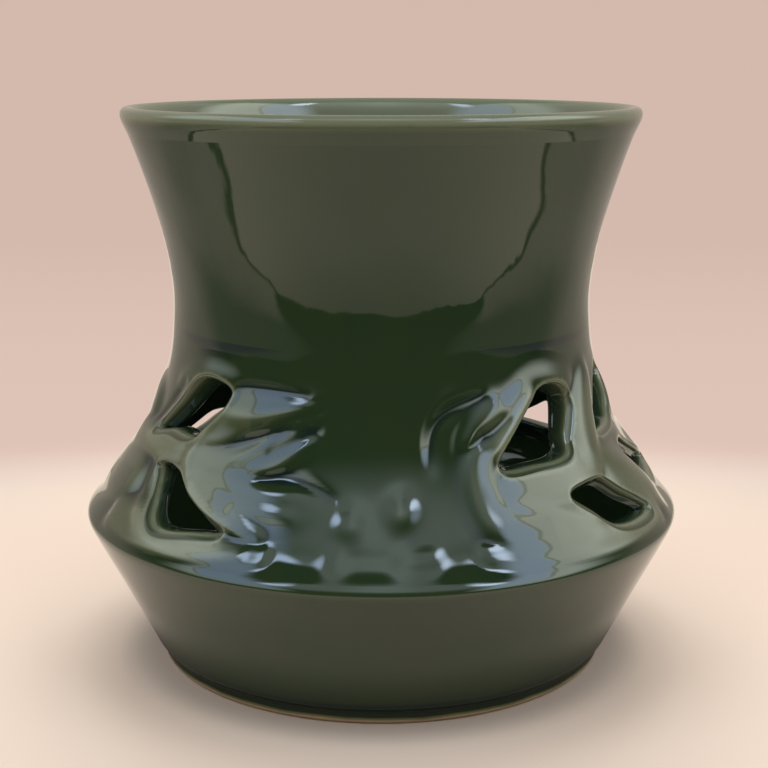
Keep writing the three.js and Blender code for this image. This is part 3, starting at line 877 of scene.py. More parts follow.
@dataclass
class LeafBelt:
    """The shoulder with raised leaves, branches and piercings."""

    form: VaseForm
    name: str = "leaf_belt_glazed"
    nodes: tuple[str, ...] = ("leaf_panel_left", "leaf_panel_right", "leaf_panel_back_right",
                              "leaf_panel_back_left")
    slot: str = "leaf_glaze"
    rows: int = 68
    arc_steps: int = 6
    straight_steps: int = 3
    # The circles on which a point's rise is compared with that of its surroundings
    spokes: int = 12
    reaches: tuple[float, ...] = (3.0, 5.5)
    # How worn the raised forms are: at most, over which rises, and how much of it off a piercing
    worn_share: float = 0.70
    worn_rise: Span = (0.6, 2.2)
    worn_off: float = 0.4
    near_width: float = 13.0
    # How worn the crests are: at most, and by how far they stand out and rise
    crest_share: float = 0.25
    crest_proud: Span = (0.15, 0.8)
    crest_rise: Span = (0.8, 2.0)
    # How low the hollows lie where the glaze pools, and the inner wall's thin and pool values
    pool_depth: Span = (0.05, 0.6)
    inner_glaze: Span = (0.05, 0.3)
    # Start and width of a piercing's bright edge
    edge_band: Span = (1.6, 0.8)
    edge_thin: float = 0.95
    # Where along the rolled edge the glaze is thinnest, and how wide
    corner_band: Span = (2.2, 1.3)

    def grid(self) -> tuple[Array, Array]:
        """Give the angle and height of every point of the belt's grid."""
        angle = np.arange(COLUMNS) * 360.0 / COLUMNS
        height = np.linspace(self.form.belt_base, self.form.belt_top, self.rows)
        turns, heights = np.meshgrid(angle, height)
        return turns.ravel(), heights.ravel()

    def outer_normal(self, angle: Array, height: Array) -> tuple[Array, Array]:
        """Give the outer radius and the unit normal, from the form's slopes."""
        radius, turn_slope, up_slope = self.form.slopes(angle, height)
        normal = outwards(angle) - sideways(angle) * (turn_slope / radius)[:, None] - UP * up_slope[:, None]
        return radius, unit(normal)

    def proud(self, rise: Array) -> Array:
        """Give how far each grid point stands out from the mean of the circles round it."""
        lattice = rise.reshape(self.rows, COLUMNS)
        belt_height = self.form.belt_top - self.form.belt_base
        around = np.zeros_like(lattice)
        for reach in self.reaches:
            for turn in np.arange(self.spokes) * 2.0 * math.pi / self.spokes:
                side = round(reach * math.cos(turn) / CHART * COLUMNS / 360.0)
                up = round(reach * math.sin(turn) * (self.rows - 1) / belt_height)
                around += np.roll(lattice, (up, side), axis=(0, 1))
        return rise - around.ravel() / (self.spokes * len(self.reaches))

    def glaze(self, angle: Array, height: Array, distance: Array) -> tuple[Array, Array]:
        """Work out where the glaze ran thin and where it pooled.

        The rise at a point is compared with the mean rise on two circles round it: what stands
        out is thin, what lies lower has pooled. The edges of the piercings are thin too.

        Args:
            angle: Angles of the points.
            height: Heights of the points.
            distance: Distance to the nearest piercing.

        Returns:
            How thin and how pooled the glaze is, each from 0 to 1.
        """
        rise = self.form.leaves(angle, height)
        proud = self.proud(rise)
        near = bell(np.maximum(distance, 0.0), 0.0, self.near_width)
        worn = self.worn_off + (1.0 - self.worn_off) * near
        thin = self.worn_share * smoothstep(rise, *self.worn_rise) * worn
        crest = smoothstep(proud, *self.crest_proud) * smoothstep(rise, *self.crest_rise)
        thin = thin + self.crest_share * crest
        start, width = self.edge_band
        edge = bell(np.maximum(distance - start, 0.0), 0.0, width)
        thin = np.clip(np.maximum(thin, self.edge_thin * edge), 0.0, 1.0)
        return thin, smoothstep(-proud, *self.pool_depth)

    def surface(self) -> Surface:
        """Build the belt's wall with its piercings.

        The outer wall is the form's radius over a grid of angle and height, and the inner wall
        stands on the same grid. Cells inside a piercing's grown outline are left out, the points
        along the cut are drawn onto that outline, and a rolled edge joins the two walls there.

        Returns:
            The closed surface.
        """
        form = self.form
        angle, height = self.grid()
        distance, spot, away = nearest_piercing(angle, height)
        gap = distance - form.edge_rounding
        cells = ring_quads(0, self.rows, COLUMNS)
        open_cell = gap[cells].mean(axis=1) < 0.0
        kept = cells[~open_cell]
        cut_points = np.intersect1d(np.unique(kept), np.unique(cells[open_cell]))
        distance[cut_points] = form.edge_rounding
        thin, pool = self.glaze(angle, height, distance)
        target = spot[cut_points] + away[cut_points] * form.edge_rounding
        angle[cut_points] = target[:, 0] / CHART
        height[cut_points] = target[:, 1]
        used = np.unique(kept)
        number = np.full(len(angle), -1)
        number[used] = np.arange(len(used))
        angle, height = angle[used], height[used]
        surface = Surface()
        radius, normal = self.outer_normal(angle, height)
        outer = surface.add(place(angle, radius, height), normal, thin[used], pool[used])
        inner_normal = UP * form.inner_slope(height)[:, None] - outwards(angle)
        inner = surface.add(place(angle, form.hollow(height), height), unit(inner_normal),
                            *(np.full(len(used), value) for value in self.inner_glaze))
        surface.quads.append(outer + number[kept])
        surface.quads.append(inner + number[kept][:, ::-1])
        self.close_joints(surface, number, outer, inner)
        self.roll_edges(surface, kept, cut_points, number, (spot, away), (outer, inner))
        return surface

    def close_joints(self, surface: Surface, number: Array, outer: int, inner: int) -> None:
        """Lay the flat rings that seat on the bowl and carry the neck.

        Args:
            surface: The surface to close.
            number: The new number of each grid point.
            outer: The first point of the outer wall.
            inner: The first point of the inner wall.
        """
        column = np.arange(COLUMNS)
        after = (column + 1) % COLUMNS
        top = (self.rows - 1) * COLUMNS
        lower = np.stack([inner + number[column], inner + number[after],
                          outer + number[after], outer + number[column]], axis=-1)
        upper = np.stack([outer + number[top + column], outer + number[top + after],
                          inner + number[top + after], inner + number[top + column]], axis=-1)
        surface.flat_quads.append((lower, -UP))
        surface.flat_quads.append((upper, UP))

    def edge_profile(self) -> tuple[Array, Array, Array, Array]:
        """Give the rolled edge's section from the outer wall to the inner one.

        Two quarter ellipses with a straight between them. A sine of the turn draws the section in
        from the cut to the piercing's outline and a cosine takes it down into the wall. The
        straight narrows the opening towards the inside, except at its sill.

        Returns:
            For each step: the distance out from the outline where the cut is straight and where
            it narrows, the depth below the nearer wall, the way through the wall from 0 to 1,
            and the length run along the section.
        """
        form = self.form
        turn = np.linspace(0.0, math.pi / 2, self.arc_steps)
        back = turn[::-1]
        way = np.linspace(0.0, 1.0, self.straight_steps + 2)[1:-1]
        reach = np.stack([
            np.concatenate([form.edge_rounding * (1.0 - np.sin(turn)), -taper * way,
                            (form.edge_rounding + taper) * (1.0 - np.sin(back)) - taper])
            for taper in (0.0, form.edge_taper)
        ])
        depth = form.edge_depth * np.concatenate([1.0 - np.cos(turn), np.ones_like(way), 1.0 - np.cos(back)])
        way = np.concatenate([np.zeros_like(turn), way, np.ones_like(turn)])
        into = depth * np.where(way < 0.5, 1.0, -1.0) + way * form.wall
        straight = (way > 0.0) & (way < 1.0)
        into[straight] = (form.edge_depth + way * (form.wall - 2.0 * form.edge_depth))[straight]
        run = np.hypot(np.diff(reach.mean(axis=0)), np.diff(into))
        return reach, depth, way, np.concatenate([[0.0], np.cumsum(run)])

    def roll_edges(self, surface: Surface, kept: Array, cut: Array, number: Array,
                   outline: tuple[Array, Array], walls: tuple[int, int]) -> None:
        """Join the outer and inner wall along every cut by a rolled edge.

        The section runs over the wall's own radius, so it follows the leaves. Its normal is the
        cross product of the way over the edge, by differences along the section, and the way
        along the outline.

        Args:
            surface: The surface to add to.
            kept: The grid's cells that are kept.
            cut: The grid's points that lie on a cut.
            number: The new number of each grid point.
            outline: The nearest outline point and the direction away from the opening.
            walls: The first points of the outer and inner wall.
        """
        form = self.form
        spot, away = outline[0][cut], outline[1][cut]
        reach, depth, way, run = self.edge_profile()
        steps = len(depth)
        shape = (len(cut), steps)
        narrowing = smoothstep(away[:, 1:2], -1.0, 0.2)
        wide, tapered = reach
        reach = wide + (tapered - wide) * narrowing
        chart = spot[:, None, :] + away[:, None, :] * reach[..., None]
        angle = (chart[..., 0] / CHART).ravel()
        height = chart[..., 1].ravel()
        radius, turn_slope, up_slope = form.slopes(angle, height)
        radius, inside = radius.reshape(shape), form.hollow(height).reshape(shape)
        here = (radius - depth) * (1.0 - way) + (inside + depth) * way
        turn_slope = turn_slope.reshape(shape) * (1.0 - way)
        up_slope = up_slope.reshape(shape) * (1.0 - way) + form.inner_slope(height).reshape(shape) * way
        angle, height = angle.reshape(shape), height.reshape(shape)
        points = place(angle, here, height)
        over_edge = np.gradient(points, run, axis=1)
        turned = -away[:, 1:2] * math.radians(1.0) / CHART
        out = turn_slope * turned + up_slope * away[:, 0:1]
        along_edge = outwards(angle) * out[..., None] + sideways(angle) * (here * turned)[..., None]
        along_edge = along_edge + UP * away[:, 0:1, None]
        normal = unit(np.cross(over_edge, along_edge))
        facing = (normal[:, 1] * outwards(angle[:, 1])).sum(-1)
        normal = normal * np.sign(facing)[:, None, None]
        corner = self.edge_thin * bell(run, *self.corner_band)
        thin = np.broadcast_to(np.maximum(corner, 0.2 * (1.0 - way)), shape)
        pool = np.broadcast_to(0.5 * smoothstep(way, 0.1, 0.6), shape)
        ring = slice(1, steps - 1)
        first = surface.add(points[:, ring], normal[:, ring], thin[:, ring], pool[:, ring])
        between = steps - 2
        order = np.full(len(number), -1)
        order[cut] = np.arange(len(cut))
        ladder = np.concatenate([
            (walls[0] + number[cut])[:, None],
            first + np.arange(len(cut) * between).reshape(len(cut), between),
            (walls[1] + number[cut])[:, None],
        ], axis=1)
        start, end = self.cut_edges(kept, order)
        a, b = ladder[order[start]], ladder[order[end]]
        quads = np.stack([b[:, :-1], a[:, :-1], a[:, 1:], b[:, 1:]], axis=-1)
        surface.quads.append(quads.reshape(-1, 4))

    def cut_edges(self, kept: Array, order: Array) -> tuple[Array, Array]:
        """Find the sides of kept cells that have no neighbour and lie on a cut.

        Args:
            kept: The kept cells' four point numbers.
            order: The place of each grid point among the cut points, or -1.

        Returns:
            The first and last point of each such side, in the cell's own direction.
        """
        start = kept.ravel()
        end = np.roll(kept, -1, axis=1).ravel()
        total = len(order)
        forward = start * total + end
        backward = end * total + start
        single = ~np.isin(forward, backward)
        on_cut = (order[start] >= 0) & (order[end] >= 0)
        chosen = single & on_cut
        return start[chosen], end[chosen]


class Wire:
    """A shader socket that can be used in arithmetic: each operator adds its Math node."""

    def __init__(self, graph: "Graph", socket: Any) -> None:
        """Keep the graph that the socket belongs to."""
        self.graph = graph
        self.socket = socket

    def math(self, operation: str, *others: Any) -> "Wire":
        """Add one Math node on this socket and further values."""
        return self.graph.maths(operation, self, *others)

    def __add__(self, other: Any) -> "Wire":
        """Add."""
        return self.math("ADD", other)

    def __sub__(self, other: Any) -> "Wire":
        """Subtract."""
        return self.math("SUBTRACT", other)

    def __rsub__(self, other: Any) -> "Wire":
        """Subtract from a value."""
        return self.graph.maths("SUBTRACT", other, self)

    def __mul__(self, other: Any) -> "Wire":
        """Multiply."""
        return self.math("MULTIPLY", other)

    def __truediv__(self, other: Any) -> "Wire":
        """Divide."""
        return self.math("DIVIDE", other)

    __radd__ = __add__
    __rmul__ = __mul__

    def clamp(self) -> "Wire":
        """Hold the value between 0 and 1."""
        return self.graph.node("ShaderNodeClamp", {}, {"Value": self})

    def step(self, low: Any, high: Any) -> "Wire":
        """Rise smoothly from 0 to 1 between two values."""
        settings = {"interpolation_type": "SMOOTHSTEP"}
        return self.graph.node("ShaderNodeMapRange", settings, {"Value": self, 1: low, 2: high})

    def axis(self, name: str) -> "Wire":
        """Take one part of a vector."""
        return self.graph.node("ShaderNodeSeparateXYZ", {}, {0: self}, name)


class Graph:
    """A node tree that is filled through one method."""

    def __init__(self, owner: bpy.types.Material | bpy.types.World) -> None:
        """Turn the owner's nodes on and empty them."""
        owner.use_nodes = True
        self.tree = owner.node_tree
        self.tree.nodes.clear()

    def node(self, kind: str, settings: dict[str, Any], inputs: dict[Any, Any], output: Any = 0) -> Wire:
        """Add a node.

        Args:
            kind: The node's type.
            settings: Properties set before its sockets.
            inputs: A value or a wire for each socket, by name or number.
            output: The name or number of the output to give back.

        Returns:
            The chosen output.
        """
        node = self.tree.nodes.new(kind)
        for key, value in settings.items():
            setattr(node, key, value)
        for key, value in inputs.items():
            socket = node.inputs[key]
            if isinstance(value, Wire):
                self.tree.links.new(value.socket, socket)
            else:
                socket.default_value = (*value, 1.0) if socket.type == "RGBA" else value
        return Wire(self, node.outputs[output] if len(node.outputs) else None)

    def maths(self, operation: str, *values: Any) -> Wire:
        """Add a Math node."""
        return self.node("ShaderNodeMath", {"operation": operation}, dict(enumerate(values)))

    def mix(self, share: Any, first: Any, second: Any, blend: str = "MIX") -> Wire:
        """Mix two colours by a share."""
        settings = {"data_type": "RGBA", "blend_type": blend}
        return self.node("ShaderNodeMix", settings, {0: share, 6: first, 7: second}, 2)

    def cover(self, base: Any, *layers: tuple[Any, Any]) -> Wire:
        """Lay colours over a base in turn, each by its own mask."""
        for mask, colour in layers:
            base = self.mix(mask, base, colour)
        return base

    def attribute(self, name: str) -> Wire:
        """Read one of the mesh's own values."""
        return self.node("ShaderNodeAttribute", {"attribute_name": name}, {}, "Fac")

    def place(self) -> Wire:
        """Read the place on the piece, in metres."""
        return self.node("ShaderNodeTexCoord", {}, {}, "Object")

    def ray(self, kind: str) -> Wire:
        """Read whether the light path is of one kind."""
        return self.node("ShaderNodeLightPath", {}, {}, kind)

    def noise(self, where: Wire, scale: float, detail: float = 2.0, roughness: float = 0.5) -> Wire:
        """Add a noise of one scale."""
        inputs = {"Vector": where, "Scale": scale, "Detail": detail, "Roughness": roughness}
        return self.node("ShaderNodeTexNoise", {}, inputs)

    def glow(self, colour: Wire) -> Wire:
        """Add an emission that shows a colour as it is."""
        return self.node("ShaderNodeEmission", {}, {"Color": colour, "Strength": 1.0})

    def blend(self, share: Wire, first: Wire, second: Wire) -> Wire:
        """Mix two shaders by a share."""
        return self.node("ShaderNodeMixShader", {}, {0: share, 1: first, 2: second})


@dataclass(frozen=True)
class GlazeFinish:
    """A transparent green glaze: deep where it pools, olive and pale where it ran thin."""

    name: str = "green_glaze"
    body: Colour = (0.015, 0.033, 0.015)
    warm: Colour = (0.022, 0.036, 0.012)
    deep: Colour = (0.006, 0.014, 0.015)
    olive: Colour = (0.072, 0.090, 0.048)
    pale: Colour = (0.165, 0.19, 0.13)
    olive_span: Span = (0.05, 0.75)
    pale_span: Span = (0.55, 1.0)
    # Waves of each pattern in a metre
    cloud_scale: float = 38.0
    streak_scale: float = 90.0
    grain_scale: float = 900.0
    ripple_scale: float = 120.0
    # Runs are drawn out downwards by this share, and ripples are this deep, in metres
    streak_share: float = 0.12
    ripple_depth: float = 0.0006
    ripple_strength: float = 0.06
    ripple_share: float = 0.6
    grain_share: float = 0.02
    # How strongly the patterns drive the body's colour, and how they vary the thin glaze
    warm_share: float = 0.35
    cloud_drift: float = 0.9
    streak_drift: float = 0.7
    cloud_thinning: float = 0.25
    grain_thinning: float = 0.12
    deep_share: float = 0.9
    pale_share: float = 0.85
    # The least roughness, and how much the clouds above a value add
    gloss: float = 0.03
    dull_start: float = 0.35
    dull_share: float = 0.06
    index: float = 1.6

    def material(self) -> bpy.types.Material:
        """Make the glaze's shader.

        Returns:
            The material, driven by the thin and pool values of the mesh.
        """
        material = bpy.data.materials.new(self.name)
        graph = Graph(material)
        thin = graph.attribute("glaze_thin")
        pool = graph.attribute("glaze_pool")
        where = graph.place()
        drawn = graph.node("ShaderNodeVectorMath", {"operation": "MULTIPLY"},
                           {0: where, 1: (1.0, 1.0, self.streak_share)})
        cloud = graph.noise(where, self.cloud_scale, 3.0, 0.55)
        streak = graph.noise(drawn, self.streak_scale)
        grain = graph.noise(where, self.grain_scale, 2.0, 0.6)
        ripple = graph.noise(where, self.ripple_scale, 1.0, 0.4)
        drift = (cloud - 0.5) * self.cloud_drift + (streak - 0.5) * self.streak_drift
        thinned = thin + (cloud - 0.5) * self.cloud_thinning * thin
        thinned = (thinned + (grain - 0.5) * self.grain_thinning * thin).clamp()
        colour = graph.cover(
            self.body,
            ((self.warm_share + drift).clamp(), self.warm),
            ((pool * self.deep_share).clamp(), self.deep),
            (thinned.step(*self.olive_span), self.olive),
            (thinned.step(*self.pale_span) * self.pale_share, self.pale),
        )
        height = ripple * self.ripple_share + grain * self.grain_share
        bump = {"Strength": self.ripple_strength, "Distance": self.ripple_depth, "Height": height}
        shader = graph.node("ShaderNodeBsdfPrincipled", {}, {
            "Base Color": colour,
            "Roughness": self.gloss + (cloud - self.dull_start).clamp() * self.dull_share,
            "IOR": self.index,
            "Normal": graph.node("ShaderNodeBump", {}, bump),
        })
        graph.node("ShaderNodeOutputMaterial", {}, {"Surface": shader})
        return material


@dataclass(frozen=True)
class FootFinish:
    """Glaze that stops in a wavy line above the bare clay of the standing edge.

    Heights and widths are in metres here, as on the piece.
    """

    name: str = "foot_glaze_and_clay"
    # The glaze's green, painted darker than the body's glaze as shade in the notch under the bowl
    glaze: Colour = (0.010, 0.020, 0.011)
    edge: Colour = (0.16, 0.15, 0.07)
    clay: Colour = (0.33, 0.235, 0.135)
    speck: Colour = (0.22, 0.15, 0.085)
    line_height: float = 0.0014
    line_blur: float = 0.00015
    edge_width: float = 0.0012
    wave_height: float = 0.0012
    wave_scale: float = 60.0
    speck_scale: float = 1500.0
    clay_roughness: float = 0.75
    glaze_roughness: float = 0.06
    index: float = 1.6

    def material(self) -> bpy.types.Material:
        """Make the foot's shader.

        Returns:
            The material, with the glaze line by the height on the piece.
        """
        material = bpy.data.materials.new(self.name)
        graph = Graph(material)
        where = graph.place()
        level = where.axis("Z") + (graph.noise(where, self.wave_scale) - 0.5) * self.wave_height
        glazed = level.step(self.line_height - self.line_blur, self.line_height + self.line_blur)
        thick = level.step(self.line_height, self.line_height + self.edge_width)
        speck = graph.noise(where, self.speck_scale, 3.0, 0.65)
        clay = graph.mix((speck - 0.2).clamp(), self.clay, self.speck)
        # The glazed band takes the glaze colour painted darker as shade under the bowl
        shader = graph.node("ShaderNodeBsdfPrincipled", {}, {
            "Base Color": graph.mix(glazed, clay, graph.mix(thick, self.edge, self.glaze)),
            "Roughness": self.clay_roughness - glazed * (self.clay_roughness - self.glaze_roughness),
            "IOR": self.index,
        })
        graph.node("ShaderNodeOutputMaterial", {}, {"Surface": shader})
        return material


@dataclass(frozen=True)
class Lamp:
    """A rectangular soft light that faces the vase, and that mirrors don't show.

    Its turn is the angle round the vase and its lift the angle above the table, both in degrees.
    Distance and size are in metres, and the power is in watts.
    """

    name: str
    turn: float
    lift: float
    distance: float
    size: Span
    watts: float
    colour: Colour
    aim_height: float = 0.09

    def hang(self) -> None:
        """Hang the light."""
        data = bpy.data.lights.new(self.name, "AREA")
        data.shape = "RECTANGLE"
        data.size, data.size_y = self.size
        data.energy = self.watts
        data.color = self.colour
        light = bpy.data.objects.new(self.name, data)
        light.visible_glossy = False
        turn, lift = math.radians(self.turn), math.radians(self.lift)
        away = self.distance * math.cos(lift)
        light.location = (away * math.sin(turn), -away * math.cos(turn),
                          self.distance * math.sin(lift) + self.aim_height)
        light.rotation_euler = (math.radians(90.0) - lift, 0.0, turn)
        bpy.context.scene.collection.objects.link(light)


COOL = (0.80, 0.90, 1.0)
LAMPS = (
    Lamp("window_left", -58.0, 44.0, 1.3, (0.75, 0.65), 3.6, COOL),
    Lamp("window_right", 56.0, 46.0, 1.3, (0.75, 0.65), 3.6, COOL),
    Lamp("overhead", 180.0, 66.0, 1.5, (1.1, 0.9), 11.2, (1.0, 0.97, 0.93)),
)


@dataclass(frozen=True)
class Camera:
    """The view that the photograph was taken from, in millimetres, degrees and pixels."""

    distance: float = 491.0
    height: float = 196.6
    pitch: float = 12.45
    offset: float = 0.83
    focal_pixels: float = 1500.0
    picture_pixels: float = 768.0
    sensor: float = 36.0

    def place(self) -> None:
        """Set the camera, sharp at every distance."""
        data = bpy.data.cameras.new("photograph_view")
        data.sensor_width = self.sensor
        data.lens = self.sensor * self.focal_pixels / self.picture_pixels
        data.clip_start, data.clip_end = 0.01, 20.0
        camera = bpy.data.objects.new("photograph_view", data)
        camera.location = (self.offset * MM, -self.distance * MM, self.height * MM)
        camera.rotation_euler = (math.radians(90.0 - self.pitch), 0.0, 0.0)
        bpy.context.scene.collection.objects.link(camera)
        bpy.context.scene.camera = camera


@dataclass(frozen=True)
class Floor:
    """A pale floor, and what mirrors show of it: a lit sheet, dark at its edges, in a dim room.

    Places are in metres from the vase's axis.
    """

    rings: tuple[float, ...] = (0.3, 0.9, 2.5)
    columns: int = 96
    cloth: Colour = (0.84, 0.70, 0.60)
    shade: Colour = (0.10, 0.08, 0.07)
    # The shade right under the foot, and its strength for the camera and for mirrors
    contact: Span = (0.076, 0.092)
    contact_share: Span = (0.4, 0.85)
    # Where the lit floor gives way to the glowing backdrop with painted shading, for the camera and for
    # mirrors
    backdrop_start: Span = (0.14, 0.32)
    mirror_start: Span = (0.12, 0.2)
    # Glowing backdrop colours with painted shading: lighter on the left than the right, darker towards the
    # front
    table_left: Colour = (0.845, 0.70, 0.595)
    table_right: Colour = (0.80, 0.66, 0.56)
    table_front_shaded: Colour = (0.74, 0.62, 0.525)
    front_span: Span = (0.05, 0.42)
    # Each further stretch towards the back, with its colour: the floor gives way to the wall's
    # own pink, darker up the wall as painted shading
    stretches: tuple[tuple[Span, Colour], ...] = (
        ((0.17, 0.19), (0.80, 0.655, 0.575)),
        ((0.18, 0.26), (0.735, 0.545, 0.475)),
        ((0.26, 1.2), (0.66, 0.485, 0.42)),
    )
    sheet: Colour = (1.0, 0.86, 0.70)
    sheet_front: Colour = (0.48, 0.42, 0.36)
    wall: Colour = (0.68, 0.58, 0.49)
    wall_far: Colour = (0.21, 0.205, 0.18)
    wall_back: Colour = (0.54, 0.45, 0.385)
    # Painted shadow line along the sheet's side edges, in what mirrors show
    edge_shadow_line: Colour = (0.01, 0.012, 0.01)
    dark: Colour = (0.014, 0.016, 0.014)
    sheet_fade: Span = (0.12, 0.40)
    wall_fade: Span = (0.0, 0.17)
    back_fade: Span = (0.0, 0.28)
    # Half the sheet's width, how its hem waves, and how wide and strong the painted shadow line along the
    # hem is
    sheet_side: float = 0.317
    sheet_blur: Span = (-0.001, 0.001)
    hem_scale: float = 16.0
    hem_wave: float = 0.05
    edge_shadow_width: Span = (0.002, 0.008)
    edge_shadow_share: float = 0.9
    # Where the sheet ends in front, how that end bends and waves, and how it slants and softens
    # beyond the hem
    sheet_end: float = 0.412
    end_bend: float = 1.7
    end_side: float = 0.33
    end_wave: float = 0.06
    end_slant: float = 0.8
    end_soft: float = 1.4
    end_blur: float = 0.004

    def build(self) -> None:
        """Lay the floor: a wide disc of rings."""
        turns = np.radians(np.arange(self.columns) * 360.0 / self.columns)
        points = np.stack([np.outer(self.rings, np.sin(turns)), np.outer(self.rings, np.cos(turns)),
                           np.zeros((len(self.rings), self.columns))], axis=-1).reshape(-1, 3)
        points = np.concatenate([points, np.zeros((1, 3))])
        quads = ring_quads(0, len(self.rings), self.columns)[:, ::-1]
        column = np.arange(self.columns)
        centre = np.full(self.columns, len(points) - 1)
        fan = np.stack([centre, (column + 1) % self.columns, column], axis=-1)
        mesh = bpy.data.meshes.new("stage_floor")
        mesh.from_pydata(points.tolist(), [], quads.tolist() + fan.tolist())
        mesh.update()
        floor = bpy.data.objects.new("stage_floor", mesh)
        bpy.context.scene.collection.objects.link(floor)
        mesh.materials.append(self.material())

    def material(self) -> bpy.types.Material:
        """Make the floor's shader.

        Near the vase it is a pale matt surface. Further out the camera sees a glowing backdrop
        colour with painted shading: lighter on the left, darker towards the front and up the wall.
        Mirrors see a sheet with dark edges and the dim room beyond it.

        Returns:
            The material.
        """
        material = bpy.data.materials.new("stage_floor")
        graph = Graph(material)
        where = graph.place()
        reach = graph.node("ShaderNodeVectorMath", {"operation": "LENGTH"}, {0: where}, "Value")
        side, back = where.axis("X"), where.axis("Y")
        front = 0.0 - back
        seen, glossy = graph.ray("Is Camera Ray"), graph.ray("Is Glossy Ray")
        plain, mirrored = self.contact_share
        contact = (1.0 - reach.step(*self.contact)) * (plain + glossy * (mirrored - plain))
        cloth = graph.mix(contact, self.cloth, self.shade)
        matt = graph.node("ShaderNodeBsdfDiffuse", {}, {"Color": cloth})
        # Painted shading of the glowing backdrop: lighter left, darker towards the front and up the wall
        near = graph.mix((side * 2.0 + 0.5).clamp(), self.table_left, self.table_right)
        far = graph.cover(near, (front.step(*self.front_span), self.table_front_shaded),
                          *((back.step(*span), colour) for span, colour in self.stretches))
        shader = graph.blend(seen * reach.step(*self.backdrop_start), matt, graph.glow(far))
        shown = graph.glow(self.mirrored(graph, where, side, back))
        shader = graph.blend(glossy * reach.step(*self.mirror_start), shader, shown)
        graph.node("ShaderNodeOutputMaterial", {}, {"Surface": shader})
        return material

    def mirrored(self, graph: Graph, where: Wire, side: Wire, back: Wire) -> Wire:
        """Paint what mirrors show of the floor.

        Args:
            graph: The floor's shader.
            where: The place on the floor.
            side: How far it lies to the right.
            back: How far it lies behind the vase.

        Returns:
            The colour.
        """
        front = 0.0 - back
        width = side.math("ABSOLUTE")
        wobble = graph.noise(where, self.hem_scale, 3.0, 0.55) - 0.5
        edge = width - self.sheet_side + wobble * self.hem_wave
        beyond = edge.math("MAXIMUM", 0.0)
        bend = width.math("MINIMUM", self.end_side)
        end = front - self.sheet_end + bend * bend * self.end_bend
        end = end + wobble * self.end_wave - beyond * self.end_slant
        wall = graph.cover(self.wall, (edge.step(*self.wall_fade), self.wall_far),
                           (back.step(*self.back_fade), self.wall_back))
        sheet = graph.mix(front.step(*self.sheet_fade), self.sheet, self.sheet_front)
        # A painted shadow line along the sheet's side edges
        edge_shadow_line = (1.0 - edge.math("ABSOLUTE").step(*self.edge_shadow_width)) * self.edge_shadow_share
        return graph.cover(sheet, (edge.step(*self.sheet_blur), wall), (edge_shadow_line, self.edge_shadow_line),
                           (end.step(0.0, beyond * self.end_soft + self.end_blur), self.dark))


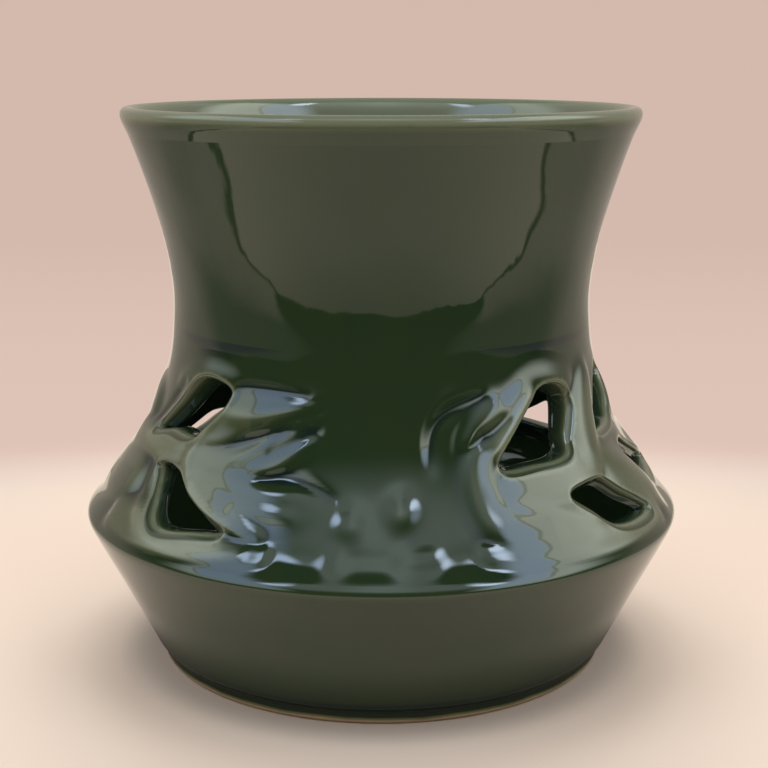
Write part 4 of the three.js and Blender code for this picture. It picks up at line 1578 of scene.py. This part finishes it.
@dataclass(frozen=True)
class Room:
    """The light from all round, and the room that only mirrors show.

    Mirrors show a bright window on either side, the ceiling between them and the dark shape that
    leans over the vase. Turns round the vase and lifts above the table are in degrees. Values
    above 1 are mirrored light sources.
    """

    light: Colour = (0.70, 0.655, 0.605)
    # The wall that the camera sees: its own pink, with painted shading that darkens it upwards
    wall_low: Colour = (0.66, 0.485, 0.42)
    wall_high: Colour = (0.635, 0.465, 0.40)
    wall_span: Span = (-0.05, 0.3)
    # Where left gives way to right, in how far a direction points to the side
    side_span: Span = (-0.2, 0.2)
    dark: Colour = (0.014, 0.016, 0.014)
    back_wall: Colour = (0.50, 0.42, 0.36)
    back_start: Span = (88.0, 118.0)
    ceiling: Colour = (0.90, 1.02, 1.04)
    ceiling_lift: Span = (30.0, 56.0)
    ceiling_glow: Colour = (1.6, 1.9, 1.95)
    glow_lift: Span = (44.0, 54.0)
    glow_turn: Span = (4.0, 26.0)
    glow_share: float = 0.5
    curtain: Colour = (2.5, 2.7, 2.5)
    sky: Colour = (1.9, 2.4, 3.2)
    sash: Colour = (0.05, 0.06, 0.06)
    sash_share: float = 0.4
    left_tint: Colour = (0.77, 0.80, 0.84)
    right_tint: Colour = (1.28, 1.26, 1.22)
    left_sun: Colour = (4.9, 6.2, 8.4)
    right_sun: Colour = (7.8, 9.4, 12.0)
    # Turn and lift of the sky's middle, how much less the right one is turned, and its radius
    sky_middle: Span = (60.0, 47.0)
    right_shift: float = 8.0
    sky_radius: Span = (20.5, 24.5)
    sash_radius: float = 24.0
    sash_width: Span = (0.2, 1.8)
    # The brightest spot of each window
    sun_middle: Span = (54.0, 53.0)
    sun_radius: Span = (3.0, 10.0)
    # Sideways start of the windows, the turn where they end, and the lifts between which they are
    window_side: Span = (0.46, 0.64)
    window_end: Span = (98.0, 122.0)
    window_low: Span = (4.0, 26.0)
    window_high: Span = (60.0, 74.0)
    # The dark shape overhead: where it starts towards the front, its sides and its lift
    shape: Colour = (0.02, 0.025, 0.022)
    shape_front: Span = (-0.44, -0.34)
    shape_side: Span = (0.62, 0.8)
    shape_lift: Span = (30.0, 50.0)
    lowest: float = 0.05

    @staticmethod
    def apart(turn: Wire, lift: Wire, spot: Span) -> Wire:
        """Give the distance of a direction from a spot, in degrees of turn and lift."""
        aside, above = turn - spot[0], lift - spot[1]
        return (aside * aside + above * above).math("SQRT")

    def mirrored(self, graph: Graph, x: Wire, y: Wire, z: Wire) -> Wire:
        """Paint what mirrors show of the room.

        Args:
            graph: The world's shader.
            x: How far a direction points to the right.
            y: How far it points to the back.
            z: How far it points up.

        Returns:
            The colour.
        """
        turn = x.math("ARCTAN2", 0.0 - y).math("ABSOLUTE") * math.degrees(1.0)
        lift = z.math("ARCSINE") * math.degrees(1.0)
        across = x.math("ABSOLUTE")
        height = z.math("MAXIMUM", self.lowest)
        right = x.step(*self.side_span)
        glow = lift.step(*self.glow_lift) * (1.0 - turn.step(*self.glow_turn))
        ceiling = graph.mix(glow * self.glow_share, self.ceiling, self.ceiling_glow)
        from_sky = self.apart(turn + right * self.right_shift, lift, self.sky_middle)
        pane = 1.0 - from_sky.step(*self.sky_radius)
        sash = 1.0 - (from_sky - self.sash_radius).math("ABSOLUTE").step(*self.sash_width)
        window = graph.cover(self.curtain, (pane, self.sky), (sash * self.sash_share, self.sash))
        window = graph.mix(1.0, window, graph.mix(right, self.left_tint, self.right_tint), "MULTIPLY")
        wide = across.step(*self.window_side) * (1.0 - turn.step(*self.window_end))
        tall = lift.step(*self.window_low) * (1.0 - lift.step(*self.window_high))
        sun = 1.0 - self.apart(turn, lift, self.sun_middle).step(*self.sun_radius)
        shape = ((y / height).step(*self.shape_front) * (1.0 - (across / height).step(*self.shape_side))
                 * lift.step(*self.shape_lift))
        return graph.cover(
            self.dark,
            (turn.step(*self.back_start), self.back_wall),
            (lift.step(*self.ceiling_lift), ceiling),
            (wide * tall, window),
            (sun, graph.mix(right, self.left_sun, self.right_sun)),
            (shape, self.shape),
        )

    def build(self) -> None:
        """Light the scene from all round, with the room for the mirrors."""
        world = bpy.data.worlds.new("studio")
        bpy.context.scene.world = world
        graph = Graph(world)
        way = graph.node("ShaderNodeTexCoord", {}, {}, "Generated")
        x, y, z = (way.axis(name) for name in "XYZ")
        plain = graph.mix(graph.ray("Is Glossy Ray"), self.light, self.mirrored(graph, x, y, z))
        # Painted shading: the wall darker upwards
        wall = graph.mix(z.step(*self.wall_span), self.wall_low, self.wall_high)
        colour = graph.mix(graph.ray("Is Camera Ray"), plain, wall)
        shader = graph.node("ShaderNodeBackground", {}, {"Color": colour, "Strength": 1.0})
        graph.node("ShaderNodeOutputWorld", {}, {"Surface": shader})


def finish_piece(piece: bpy.types.Object, nodes: tuple[str, ...],
                 material: bpy.types.Material) -> None:
    """Dress a piece and tell the frame what it stands for.

    Args:
        piece: The object.
        nodes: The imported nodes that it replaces.
        material: Its finish.
    """
    piece.data.materials.append(material)
    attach(piece, "root")
    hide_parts(*nodes)
    LOG.info("%s: %d faces for %s", piece.name, len(piece.data.polygons), ", ".join(nodes))


def main() -> None:
    """Build the vase's sections in order, then the studio."""
    logging.basicConfig(level=logging.INFO, format="%(name)s: %(message)s")
    bpy.context.scene.view_settings.view_transform = "Standard"
    form = VaseForm()
    glaze = GlazeFinish().material()
    foot = FootFinish().material()
    for section in (FootRing(form), Bowl(form), LeafBelt(form), Neck(form), Lip(form)):
        piece = section.surface().mesh_object(section.name)
        material = foot if section.slot == "bare_clay" else glaze
        finish_piece(piece, section.nodes, material)
    Camera().place()
    Floor().build()
    Room().build()
    for lamp in LAMPS:
        lamp.hang()


if __name__ == "__main__":
    main()
